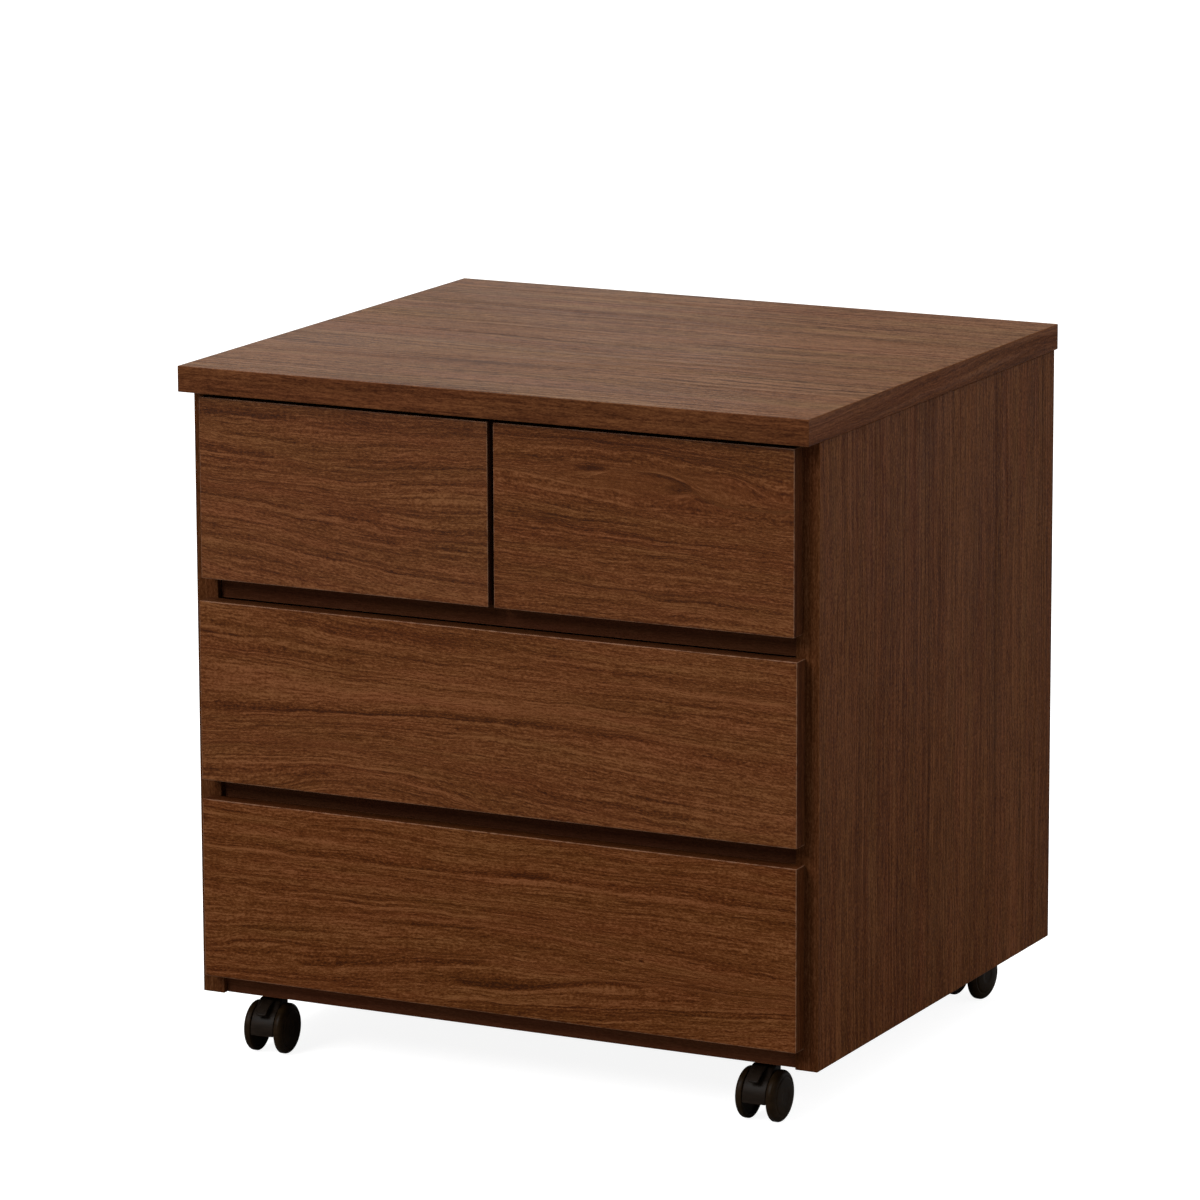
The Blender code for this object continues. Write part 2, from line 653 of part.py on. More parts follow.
def add_hood(name, swivel, has_stopper):
    back = math.pi - SKIRT_BACK_ANGLE
    inner_radius = HOOD_RADIUS - HOOD_WALL
    skirt = arc_points(HOOD_RADIUS, SKIRT_FRONT_ANGLE, back)
    skirt += arc_points(inner_radius, back, SKIRT_FRONT_ANGLE)
    hood = make_object(
        name, prism(skirt, 0, -HOOD_WIDTH / 2, HOOD_WIDTH), "black_plastic", swivel, smooth=True)

    lip_angle = SKIRT_FRONT_ANGLE + HOOD_LIP / HOOD_RADIUS
    lip = arc_points(HOOD_RADIUS - HOOD_WALL / 2, SKIRT_FRONT_ANGLE, lip_angle)
    lip += arc_points(inner_radius - HOOD_LIP, lip_angle, SKIRT_FRONT_ANGLE)
    lip_width = HOOD_WIDTH - 2 * HOOD_WALL
    add_part(hood, "lip", prism(lip, 0, -lip_width / 2, lip_width), swivel)

    web = arc_points(HOOD_RADIUS - HOOD_WALL / 2, SKIRT_FRONT_ANGLE, back)
    add_part(hood, "web", prism(web, 0, -HOOD_WEB / 2, HOOD_WEB), swivel)

    axle_boss = cylinder(AXLE_BOSS_RADIUS, -HOOD_WEB / 2, HOOD_WEB / 2, ROUND_SEGMENTS, 0)
    bmesh.ops.translate(axle_boss, verts=axle_boss.verts, vec=(0, -CASTER_TRAIL, WHEEL_RADIUS))
    add_part(hood, "axle_boss", axle_boss, swivel)

    neck_foot = hood_top_z - NECK_HEIGHT
    boss = turned(
        [
            (boss_foot_z, 0),
            (boss_foot_z, HOOD_BOSS_RADIUS),
            (neck_foot, HOOD_BOSS_RADIUS),
            (neck_foot + NECK_RADIUS - HOOD_BOSS_RADIUS, NECK_RADIUS),
            (hood_top_z, NECK_RADIUS),
            (hood_top_z, 0),
        ],
        ROUND_SEGMENTS, 2)
    add_part(hood, "swivel_boss", boss, swivel)

    add_part(hood, "saddle", lofted(saddle_sections()), swivel)
    if has_stopper:
        stopper = prism(stopper_outline(), 0, -STOPPER_WIDTH / 2, STOPPER_WIDTH)
        add_part(hood, "stopper", stopper, swivel)

    socket = cylinder(
        STEM_RADIUS + SEAT_GAP, socket_floor_z, hood_top_z + CUT_OVERRUN, ROUND_SEGMENTS, 2)
    cut_away(hood, make_object(name + "_socket", socket, None, swivel))
    reach = HOOD_WEB / 2 + CUT_OVERRUN
    bore = cylinder(AXLE_RADIUS + SEAT_GAP, -reach, reach, ROUND_SEGMENTS, 0)
    place = (0, -CASTER_TRAIL, WHEEL_RADIUS)
    cut_away(hood, make_object(name + "_axle_bore", bore, None, swivel, place))


def add_part(body, suffix, shape, parent):
    join_on(body, make_object(body.name + "_" + suffix, shape, None, parent))


def add_stem(name, place, chest):
    foot = socket_floor_z + SEAT_GAP
    collar_top = collar_z + STEM_COLLAR_HEIGHT
    tip = base_z + SHANK_LENGTH
    profile = [
        (foot, 0),
        (foot, STEM_RADIUS - STEM_CHAMFER),
        (foot + STEM_CHAMFER, STEM_RADIUS),
        (collar_z, STEM_RADIUS),
        (collar_z, STEM_COLLAR_RADIUS),
        (collar_top, STEM_COLLAR_RADIUS),
        (collar_top, SHANK_RADIUS),
        (tip - STEM_CHAMFER, SHANK_RADIUS),
        (tip, SHANK_RADIUS - STEM_CHAMFER),
        (tip, 0),
    ]
    shape = turned(profile, ROUND_SEGMENTS, 2)
    make_object(name, shape, "plated_steel", chest, place, smooth=True)


def add_casters(chest):
    for place, (x, y) in caster_places().items():
        name = "caster_" + place
        swivel = make_empty(name, (x, y, 0), chest, CASTER_HEADINGS[place])
        add_stem(name + "_stem", (x, y, 0), chest)
        add_hood(name + "_hood", swivel, place.startswith("front"))
        add_axle(name + "_axle", swivel)
        add_wheel(name + "_wheel_left", -1, swivel)
        add_wheel(name + "_wheel_right", 1, swivel)


def main():
    clear_scene()
    chest = make_empty("chest", (0, 0, 0))
    add_top_board(chest)
    add_side_panel("side_panel_left", -1, chest)
    add_side_panel("side_panel_right", 1, chest)
    add_bottom_board(chest)
    add_back_panel(chest)
    add_rails(chest)
    add_divider(chest)
    add_small_drawers(chest)
    add_wide_drawers(chest)
    add_casters(chest)


main()
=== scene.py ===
import json

import bmesh
import bpy
import numpy as np
from mathutils import Euler, Matrix, Vector


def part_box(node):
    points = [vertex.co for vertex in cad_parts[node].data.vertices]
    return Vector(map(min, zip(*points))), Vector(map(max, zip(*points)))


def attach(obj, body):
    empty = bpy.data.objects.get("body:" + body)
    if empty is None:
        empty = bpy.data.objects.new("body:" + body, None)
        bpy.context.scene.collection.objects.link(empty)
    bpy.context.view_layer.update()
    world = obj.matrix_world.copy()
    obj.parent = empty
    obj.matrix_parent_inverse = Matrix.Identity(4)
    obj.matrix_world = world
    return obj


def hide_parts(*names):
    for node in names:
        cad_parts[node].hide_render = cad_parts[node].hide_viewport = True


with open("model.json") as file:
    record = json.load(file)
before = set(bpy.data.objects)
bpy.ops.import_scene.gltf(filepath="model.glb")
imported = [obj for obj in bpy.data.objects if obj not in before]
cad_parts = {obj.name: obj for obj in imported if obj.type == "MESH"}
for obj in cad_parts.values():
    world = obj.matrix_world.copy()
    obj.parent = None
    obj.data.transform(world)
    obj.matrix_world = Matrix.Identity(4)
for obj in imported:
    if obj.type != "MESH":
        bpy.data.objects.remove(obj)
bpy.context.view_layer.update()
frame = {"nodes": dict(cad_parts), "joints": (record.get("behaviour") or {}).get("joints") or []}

print("frame loaded:", len(frame["nodes"]), "nodes")


class Wire:
    # a node's output, which adds, subtracts, multiplies and divides as a number does
    def __init__(self, socket):
        self.socket = socket

    def __add__(self, other):
        return calc("ADD", self, other)

    def __sub__(self, other):
        return calc("SUBTRACT", self, other)

    def __rsub__(self, other):
        return calc("SUBTRACT", other, self)

    def __mul__(self, other):
        return calc("MULTIPLY", self, other)

    def __truediv__(self, other):
        return calc("DIVIDE", self, other)

    def __rtruediv__(self, other):
        return calc("DIVIDE", other, self)


def setSocket(socket, value):
    # a colour is written as three numbers
    socket.default_value = (*value, 1) if socket.type == "RGBA" else value


def addNode(kind, sockets, **settings):
    # the node goes into the tree of the wires that feed it; other sockets get a plain value
    tree = next(value.socket.id_data for value in sockets.values() if isinstance(value, Wire))
    node = tree.nodes.new(kind)
    for key, value in settings.items():
        setattr(node, key, value)
    for key, value in sockets.items():
        if isinstance(value, Wire):
            tree.links.new(value.socket, node.inputs[key])
        else:
            setSocket(node.inputs[key], value)
    return node


def wires(node):
    return {output.name: Wire(output) for output in node.outputs}


def fromNode(kind, sockets, output=0, **settings):
    return Wire(addNode(kind, sockets, **settings).outputs[output])


def calc(operation, *values):
    return fromNode("ShaderNodeMath", dict(enumerate(values)), operation=operation)


def vectorCalc(operation, *values):
    return fromNode("ShaderNodeVectorMath", dict(enumerate(values)), operation=operation)


def noise(vector, stretch, detail=2.0, roughness=0.5, distortion=0.0):
    # noise whose cells are 1/stretch metres long in each direction
    sockets = {"Vector": vectorCalc("MULTIPLY", vector, stretch), "Scale": 1.0,
               "Detail": detail, "Roughness": roughness, "Distortion": distortion}
    return fromNode("ShaderNodeTexNoise", sockets)


def remap(value, low, high, toLow=0.0, toHigh=1.0):
    sockets = {"Value": value, "From Min": low, "From Max": high, "To Min": toLow,
               "To Max": toHigh}
    return fromNode("ShaderNodeMapRange", sockets)


def mixColour(factor, first, second, blend="MIX"):
    # sockets 0, 6 and 7 are the factor and the two colours of a colour mix
    sockets = {0: factor, 6: first, 7: second}
    return fromNode("ShaderNodeMix", sockets, 2, data_type="RGBA", blend_type=blend)


def mixVector(factor, first, second):
    return fromNode("ShaderNodeMix", {0: factor, 4: first, 5: second}, 1, data_type="VECTOR")


def turned(vector, rotation):
    return fromNode("ShaderNodeMapping", {"Vector": vector, "Rotation": rotation})


def split(vector):
    return wires(addNode("ShaderNodeSeparateXYZ", {0: vector})).values()


def join(x, y, z):
    return fromNode("ShaderNodeCombineXYZ", {"X": x, "Y": y, "Z": z})


def colourRamp(value, places, colours):
    node = addNode("ShaderNodeValToRGB", {"Fac": value})
    elements = node.color_ramp.elements
    while len(elements) < len(places):
        elements.new(0.5)
    for element, position, colour in zip(elements, places, colours):
        element.position, element.color = position, (*colour, 1)
    return Wire(node.outputs["Color"])


def followCurve(value, points):
    # a smooth curve through the points
    node = addNode("ShaderNodeFloatCurve", {"Value": value})
    node.mapping.use_clip = False
    curve = node.mapping.curves[0].points
    for place in points[2:]:
        curve.new(*place)
    for point, place in zip(curve, points):
        point.location = place
    node.mapping.update()
    return Wire(node.outputs["Value"])


def newGroup(name, inputs):
    # inputs gives each socket its usual value: three numbers make it a vector socket
    group = bpy.data.node_groups.new(name, "ShaderNodeTree")
    for label, value in inputs.items():
        kind = "NodeSocketVector" if isinstance(value, tuple) else "NodeSocketFloat"
        group.interface.new_socket(label, in_out="INPUT", socket_type=kind).default_value = value
    return group, wires(group.nodes.new("NodeGroupInput"))


def finishGroup(group, results):
    sink = group.nodes.new("NodeGroupOutput")
    for label, wire in results.items():
        kind = "NodeSocketVector" if wire.socket.type == "VECTOR" else "NodeSocketFloat"
        group.interface.new_socket(label, in_out="OUTPUT", socket_type=kind)
        group.links.new(wire.socket, sink.inputs[label])
    return group


def useGroup(group, sockets):
    return wires(addNode("ShaderNodeGroup", sockets, node_tree=group))


faceLimit = 0.7        # a face looks along an axis when its normal's share of it is above this


def makeGrainTurn():
    # On faces that the grain runs into, the banding's grain runs along Y instead of X.
    group, given = newGroup("grain turn", {"Vector": (0, 0, 0), "Facing": (0, 0, 1)})
    forward, sideways, up = split(given["Facing"])
    isEnd = calc("GREATER_THAN", calc("ABSOLUTE", forward), faceLimit)
    x, y, z = split(given["Vector"])
    return finishGroup(group, {"Vector": mixVector(isEnd, given["Vector"], join(y, z, x))})


def makeGrainDrift():
    # Shifts the grain sideways: across += wander * slow noise + ripple * quick noise.
    group, given = newGroup("grain drift", {
        "Vector": (0, 0, 0), "Shift": (0, 0, 0), "Wander": 0.02, "Ripple": 0.005})
    spot = vectorCalc("ADD", given["Vector"], given["Shift"])
    slow = noise(spot, (2.4, 9, 9)) - 0.5
    quick = noise(spot, (20, 60, 60)) - 0.5
    drift = slow * given["Wander"] + quick * given["Ripple"]
    moved = vectorCalc("ADD", given["Vector"], join(0.0, drift, 0.0))
    return finishGroup(group, {"Vector": moved})


def makeGrainMark():
    # One dark line of the figure, between its start and its end: exp(-off^2), where off counts
    # in half widths, wide above and narrow below, less a light line along its narrow side.
    group, given = newGroup("grain mark", {
        "Along": 0.5, "Across": 0.5, "Centre": 0.5, "Half Width": 0.01, "Start": 0.0,
        "End": 1.0, "Fade": 0.03, "Strength": 0.2, "Rim": 0.5})

    def bell(offset, spread):
        share = offset / spread
        return calc("EXPONENT", share * share * -1.0)

    off = (given["Across"] - given["Centre"]) / given["Half Width"]
    spread = calc("MULTIPLY_ADD", calc("GREATER_THAN", off, 0.0), 0.9, 0.6)
    fall = bell(off, spread) - bell(off + 1.1, 0.6) * given["Rim"]
    begun = (given["Along"] - given["Start"]) / given["Fade"]
    left = (given["End"] - given["Along"]) / given["Fade"]
    inside = remap(calc("MINIMUM", begun, left), 0.0, 1.0)
    return finishGroup(group, {"Mark": fall * inside * given["Strength"]})


# layers of the grain, each as its name, cells per metre along and across, detail
grainLayers = (("Ring", (5, 160, 160), 2), ("Streak", (14, 540, 540), 2),
               ("Dash", (80, 720, 720), 1), ("Fibre", (320, 950, 950), 1))


def makeWoodGrain():
    # X runs along the grain, Y and Z across it, in metres. The tone swings about 0.5 by the sum
    # of each layer's noise times its share.
    group, given = newGroup("wood grain", {
        "Vector": (0, 0, 0), "Stretch": (1, 1, 1), "Band Width": 0.03, "Line Gap": 0.008,
        "Band": 0.5, **{label: 0.3 for label, stretch, detail in grainLayers}})
    drawn = vectorCalc("MULTIPLY", given["Vector"], given["Stretch"])
    across = 1.0 / given["Band Width"]
    tone = (noise(drawn, join(1.3, across, across)) - 0.5) * given["Band"]
    for label, stretch, detail in grainLayers:
        isShort = label in ("Dash", "Fibre")
        layer = noise(given["Vector"] if isShort else drawn, stretch, detail, 0.6)
        tone = tone + (layer - 0.5) * given[label]

    # dark lines along one contour of a slow noise, each with a light line beside it
    across = 1.0 / given["Line Gap"]
    contour = noise(drawn, join(1.7, across, across))
    darkSide = calc("ABSOLUTE", contour - 0.5)
    lightSide = calc("ABSOLUTE", contour - 0.57)
    line = remap(darkSide, 0.0, 0.045, 1.0, 0.0) - remap(lightSide, 0.0, 0.040, 0.8, 0.0)
    line = line * remap(noise(drawn, (9, 60, 60)), 0.36, 0.66)
    # the last layer is the finest, and its dark side is the open pores
    pore = remap(layer, 0.36, 0.5, 1.0, 0.0)
    tint = remap(noise(drawn, (9, 55, 55), 3, 0.6), 0.33, 0.67)
    return finishGroup(group, {"Tone": tone + 0.5, "Line": line, "Tint": tint, "Fibre": layer,
                               "Height": 1.0 - (pore * 0.7 + line * 0.3)})


def makeBoardEdge():
    # Distance to the board's second nearest face says how close a point is to an arris; the Arris
    # mask carries a painted highlight of ragged width along the arrises.
    group, given = newGroup("board edge", {
        "Vector": (0, 0, 0), "Half Size": (1, 1, 1), "Highlight Width": 0.0010,
        "Joint Place": 0.0011})
    x, y, z = split(vectorCalc("SUBTRACT", given["Half Size"],
                               vectorCalc("ABSOLUTE", given["Vector"])))
    # the middle one of the three distances
    middle = calc("MAXIMUM", calc("MINIMUM", x, y), calc("MINIMUM", calc("MAXIMUM", x, y), z))
    speck = noise(given["Vector"], (160, 160, 160), 3)
    width = given["Highlight Width"] * remap(speck, 0.35, 0.7, 0.5, 1.4)
    besideJoint = calc("ABSOLUTE", middle - given["Joint Place"])
    return finishGroup(group, {"Arris": remap(middle, 0.0, width, 1.0, 0.0),
                               "Joint": remap(besideJoint, 0.0, 0.00022, 1.0, 0.0)})


def makeHandling():
    # Broad soft smears and fine dust, for roughness and a little colour.
    group, given = newGroup("handling", {"Vector": (0, 0, 0), "Facing": (0, 0, 1)})
    smear = remap(noise(given["Vector"], (5, 7, 6), 4, 0.6, 0.8), 0.32, 0.7)
    forward, sideways, up = split(given["Facing"])
    speck = remap(noise(given["Vector"], (420, 420, 420), 3, 0.7), 0.6, 0.82)
    return finishGroup(group, {"Smear": smear, "Dust": remap(up, 0.35, 1.0) * speck})


def makeMouldGrain():
    # Fine spark-eroded texture with faint flow lines, as on moulded nylon.
    group, given = newGroup("mould grain", {"Vector": (0, 0, 0), "Texture Size": 0.0006})
    count = 1.0 / given["Texture Size"]
    grit = noise(given["Vector"], join(count, count, count), 2, 0.6)
    flow = noise(given["Vector"], (70, 70, 220), 2, 0.5, 1.2)
    return finishGroup(group, {"Tint": flow, "Height": grit})


grainTurn = makeGrainTurn()
grainDrift = makeGrainDrift()
grainMark = makeGrainMark()
woodGrain = makeWoodGrain()
boardEdge = makeBoardEdge()
handling = makeHandling()
mouldGrain = makeMouldGrain()
print("shader groups ready")


def startMaterial(name, fixed):
    # fixed holds the values that are the same all over, set on the shader's own sockets
    material = bpy.data.materials.new(name)
    material.use_nodes = True
    nodes = material.node_tree.nodes
    for key, value in fixed.items():
        setSocket(nodes["Principled BSDF"].inputs[key], value)
    return material, wires(nodes.new("ShaderNodeTexCoord"))


def feedShader(material, results):
    tree = material.node_tree
    for key, wire in results.items():
        tree.links.new(wire.socket, tree.nodes["Principled BSDF"].inputs[key])
    return material


def finishMaterial(material, colour, roughness, height, strength, distance):
    # the height goes through a bump of that strength, distance metres deep
    bump = fromNode("ShaderNodeBump", {"Height": height, "Strength": strength,
                                       "Distance": distance})
    return feedShader(material, {"Base Color": colour, "Roughness": roughness, "Normal": bump})


# colours of each look's ramp, and the share of each layer of the grain in its tone
walnutLooks = {
    "front": {"ramp": ((0.0235, 0.0056, 0.0009), (0.0430, 0.0110, 0.0015),
                       (0.0685, 0.0205, 0.0043), (0.1240, 0.0468, 0.0164)),
              # on the fronts the edge faces are darkened as painted shade of the gaps, and the
              # arrises lightened as a painted highlight
              "arrisHighlight": (0.210, 0.1150, 0.0700), "arris": 0.60, "edges": (0.50, 0.46, 0.43),
              "Band": 0.16, "Ring": 0.26, "Streak": 0.80, "Dash": 0.80, "Fibre": 1.00,
              "line": 0.20, "roughness": 0.44, "stretch": (0.7, 1.0, 1.0)},
    "top": {"ramp": ((0.0265, 0.0084, 0.0022), (0.0495, 0.0194, 0.0067),
                     (0.0770, 0.0336, 0.0140), (0.1210, 0.0602, 0.0290)),
            "arrisHighlight": (0.110, 0.0420, 0.0160), "arris": 0.25, "edges": (0.78, 0.57, 0.40),
            "Band": 0.40, "Ring": 0.34, "Streak": 1.80, "Dash": 1.40, "Fibre": 1.40,
            "line": 0.12, "roughness": 0.40, "stretch": (0.30, 0.5, 0.5)},
    "side": {"ramp": ((0.0185, 0.0047, 0.0010), (0.0365, 0.0105, 0.0023),
                      (0.0545, 0.0172, 0.0045), (0.0950, 0.0356, 0.0118)),
             "arrisHighlight": (0.095, 0.0360, 0.0120), "arris": 0.30, "edges": (0.90, 0.94, 1.20),
             "Band": 0.34, "Ring": 0.52, "Streak": 1.10, "Dash": 0.95, "Fibre": 1.40,
             "line": 0.12, "roughness": 0.46, "stretch": (0.38, 0.9, 0.9)},
    # the rail look's darker ramp is painted shade: these boards sit in the shade behind and between
    # the fronts
    "rail": {"ramp": ((0.0240, 0.0062, 0.0022), (0.0410, 0.0124, 0.0047),
                      (0.0580, 0.0192, 0.0083), (0.0860, 0.0320, 0.0152)),
             "arrisHighlight": (0.090, 0.0350, 0.0160), "arris": 0.30, "edges": (1.00, 1.00, 1.00),
             "Band": 0.20, "Ring": 0.30, "Streak": 0.60, "Dash": 0.60, "Fibre": 0.80,
             "line": 0.10, "roughness": 0.48, "stretch": (0.8, 1.0, 1.0)},
}

walnutFinish = {"rampPlaces": (0.00, 0.26, 0.50, 0.84), "redder": (1.05, 0.95, 0.96),
                "yellower": (1.00, 1.02, 0.93), "markStrength": 1.20, "markWidth": 1.25,
                "markFade": 18, "quietCalm": 0.42, "edgeCalm": 0.4, "jointShade": 0.35,
                "smearRoughness": 0.06, "edgeRoughness": 0.25, "lineRoughness": 0.08,
                "bumpStrength": 0.25, "bumpDistance": 0.00025}

# turns that lay a board's grain along X: the grain of each board runs along the named axis
grainTurns = {"x": (0, 0, 0), "xUpright": (-np.pi / 2, 0, 0), "z": (0, np.pi / 2, 0)}


def bendGrain(flow, figure):
    # Figures are in millimetres from the middle of the board. Between two guides the grain
    # keeps its share of the way from one to the other; marks lie at a level of the bent grain.
    width, height = figure["size"]
    x, y, z = split(flow)
    along = calc("MULTIPLY_ADD", x, 1000 / width, 0.5)
    across = calc("MULTIPLY_ADD", y, 1000 / height, 0.5)

    def line(points):
        return followCurve(along, [(px / width + 0.5, pz / height + 0.5) for px, pz in points])

    def mark(level, centre, strength, halfWidth, start, end):
        return useGroup(grainMark, {
            "Along": along, "Across": level, "Centre": centre, "Half Width": halfWidth / height,
            "Start": start / width + 0.5, "End": end / width + 0.5, "Strength": strength,
            "Fade": min(walnutFinish["markFade"], (end - start) * 0.4) / width})["Mark"]

    def quietZone(centreX, centreZ, halfX, halfZ):
        # an oval in which the fine grain is calmer: 1 in its middle, 0 from its rim outwards
        east = calc("MULTIPLY_ADD", along, width / halfX, -(centreX + width / 2) / halfX)
        north = calc("MULTIPLY_ADD", across, height / halfZ, -(centreZ + height / 2) / halfZ)
        return remap(calc("MULTIPLY_ADD", east, east, north * north), 0.3, 1.0, 1.0, 0.0)

    edge = width // 2
    rests = [rest / height + 0.5 for rest, *heights in figure["guides"]]
    curves = [line([(-edge, left), *points, (edge, right)])
              for rest, left, *points, right in figure["guides"]]
    below = calc("MINIMUM", across - curves[0], 0.0)
    above = calc("MAXIMUM", across - curves[-1], 0.0)
    level = below + above + rests[0]
    for number in range(1, len(curves)):
        level = level + remap(across, curves[number - 1], curves[number], 0.0,
                              rests[number] - rests[number - 1])
    widen = walnutFinish["markWidth"]
    marks = [mark(level, rest / height + 0.5, strength, halfWidth * widen, *ends)
             for rest, strength, halfWidth, *ends in figure["marks"]]
    marks += [mark(across, line(points), *shape) for points, *shape in figure.get("strokes", ())]
    bent = (level - 0.5) * (height / 1000)
    quietZones = [quietZone(*zone) for zone in figure.get("quiet", ())]
    return join(x, bent, z), sum(marks[1:], marks[0]), quietZones


def makeWalnut(name, node, look, turn, shift, figure=None, gloss=0.012, lift=0.0,
               bandWidth=0.035, lineGap=0.008, wander=0.020, ripple=0.005):
    # one printed walnut foil, worked out from the middle of the board's box, with a painted
    # highlight along its arrises and, on the fronts, painted shade on its edge faces
    values, finish = walnutLooks[look], walnutFinish
    material, place = startMaterial(name, {"Specular IOR Level": gloss})
    low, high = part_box(node)
    half = (high - low) / 2
    centred = vectorCalc("SUBTRACT", place["Object"], tuple((low + high) / 2))
    flow = useGroup(grainTurn, {"Vector": turned(centred, grainTurns[turn]),
                                "Facing": turned(place["Normal"], grainTurns[turn])})["Vector"]
    flow = useGroup(grainDrift, {"Vector": flow, "Shift": shift, "Wander": wander,
                                 "Ripple": ripple})["Vector"]
    if figure:
        flow, marks, quietZones = bendGrain(flow, figure)
    shares = {label: values[label] for label in ("Band", "Ring", "Streak", "Dash", "Fibre")}
    grain = useGroup(woodGrain, {
        "Vector": vectorCalc("ADD", flow, shift), "Stretch": values["stretch"],
        "Band Width": bandWidth, "Line Gap": lineGap, **shares})
    touch = useGroup(handling, {"Vector": centred, "Facing": place["Normal"]})
    edge = useGroup(boardEdge, {"Vector": centred, "Half Size": tuple(half)})

    tone = grain["Tone"] + lift - grain["Line"] * values["line"]
    if figure:
        for zone in quietZones:
            tone = tone - (tone - 0.5) * (zone * finish["quietCalm"])
        strength = finish["markStrength"]
        ragged = remap(grain["Fibre"], 0.35, 0.65, 1.2 * strength, 0.8 * strength)
        tone = tone - marks * ragged
    # the banded edges are the faces that look away from the board's thin direction
    outward = calc("ABSOLUTE", list(split(place["Normal"]))[np.argmin(half)])
    isEdge = calc("LESS_THAN", outward, faceLimit)
    calm = isEdge * (tone - 0.5) * finish["edgeCalm"]
    wood = colourRamp(tone - calm, finish["rampPlaces"], values["ramp"])
    hue = mixColour(grain["Tint"], finish["redder"], finish["yellower"])
    wood = mixColour(1.0, wood, hue, "MULTIPLY")
    # painted shade: the fronts' edge faces darken to about half for the shade in the gaps round
    # them; on the other boards this tints the edge band
    wood = mixColour(isEdge, wood, mixColour(1.0, wood, values["edges"], "MULTIPLY"))
    wood = mixColour(edge["Joint"] * finish["jointShade"], wood, values["ramp"][0])
    # painted highlight: the arrises are lightened towards this colour, standing in for the glint of
    # rounded edges
    wood = mixColour(edge["Arris"] * values["arris"], wood, values["arrisHighlight"])

    rough = calc("MULTIPLY_ADD", touch["Smear"], finish["smearRoughness"], values["roughness"])
    rough = calc("MULTIPLY_ADD", isEdge, finish["edgeRoughness"], rough)
    rough = rough + grain["Line"] * finish["lineRoughness"]
    return finishMaterial(material, wood, rough, grain["Height"], finish["bumpStrength"],
                          finish["bumpDistance"])


def evenGrain(place, turn, look):
    # grain without a figure, along X, or along Y after a quarter turn
    along = turned(place["Object"], (0, 0, turn))
    grain = useGroup(woodGrain, {"Vector": along, **look["grain"]})
    return along, grain, mixColour(remap(grain["Tone"], 0.25, 0.75), look["dark"], look["light"])


boxFoilLook = {"light": (0.54, 0.42, 0.285), "dark": (0.41, 0.295, 0.180),
               "line": (0.30, 0.20, 0.115), "gloss": 0.3, "roughness": 0.50, "bump": 0.12,
               "grain": {"Band Width": 0.02, "Line Gap": 0.007, "Band": 0.5, "Ring": 0.6,
                         "Streak": 0.9, "Dash": 0.5, "Fibre": 0.4, "Stretch": (0.5, 1, 1)}}


def makeBoxFoil(name, turn):
    # pale printed grain along the board
    look = boxFoilLook
    material, place = startMaterial(name, {"Specular IOR Level": look["gloss"]})
    along, grain, wood = evenGrain(place, turn, look)
    wood = mixColour(grain["Line"] * 0.35, wood, look["line"])
    touch = useGroup(handling, {"Vector": place["Object"], "Facing": place["Normal"]})
    rough = touch["Smear"] * 0.1 + look["roughness"]
    return finishMaterial(material, wood, rough, grain["Height"], look["bump"], 0.0002)


runnerLook = {"light": (0.55, 0.40, 0.245), "dark": (0.44, 0.295, 0.165),
              "fleck": (0.25, 0.145, 0.072), "gloss": 0.35, "roughness": 0.52, "bump": 0.2,
              "grain": {"Band Width": 0.008, "Line Gap": 0.004, "Band": 0.7, "Ring": 0.3,
                        "Streak": 0.4, "Dash": 0.3, "Fibre": 0.3}}


def makeRunnerWood():
    # Beech: plain straight grain along Y with short darker ray flecks.
    look = runnerLook
    material, place = startMaterial("runnerWood", {"Specular IOR Level": look["gloss"]})
    along, grain, wood = evenGrain(place, np.pi / 2, look)
    fleck = remap(noise(along, (260, 1400, 1400), 1), 0.6, 0.72)
    wood = mixColour(fleck * 0.6, wood, look["fleck"])
    rough = fleck * 0.15 + look["roughness"]
    return finishMaterial(material, wood, rough, grain["Height"], look["bump"], 0.0002)


thinPanelLook = {"light": (0.300, 0.198, 0.118), "dark": (0.256, 0.162, 0.092),
                 "fibre": (0.125, 0.072, 0.038), "gloss": 0.25, "roughness": 0.62, "bump": 0.2}


def makeThinPanel():
    # Hardboard: short felted fibres lying every way, with darker flecks.
    look = thinPanelLook
    material, place = startMaterial("thinPanel", {"Specular IOR Level": look["gloss"]})
    cloud = noise(place["Object"], (45, 45, 45), 5, 0.7)
    base = mixColour(remap(cloud, 0.35, 0.68), look["dark"], look["light"])
    layers = [remap(noise(place["Object"], stretch, 3, 0.7, 1.5), 0.55, 0.75)
              for stretch in ((620, 170, 170), (170, 620, 620))]
    fibre = calc("MAXIMUM", *layers)
    base = mixColour(fibre * 0.45, base, look["fibre"])
    rough = fibre * 0.12 + look["roughness"]
    return finishMaterial(material, base, rough, fibre, look["bump"], 0.0002)


plasticLooks = {
    "hood": {"dark": (0.0068, 0.0042, 0.0026), "light": (0.0106, 0.0066, 0.0042),
             "gloss": 0.05, "roughness": 0.38, "texture": 0.00055, "bump": 0.22},
    "wheel": {"dark": (0.0086, 0.0045, 0.0017), "light": (0.0136, 0.0072, 0.0028),
              "gloss": 0.035, "roughness": 0.34, "texture": 0.0009, "bump": 0.10},
}
dustColour = (0.16, 0.14, 0.12)


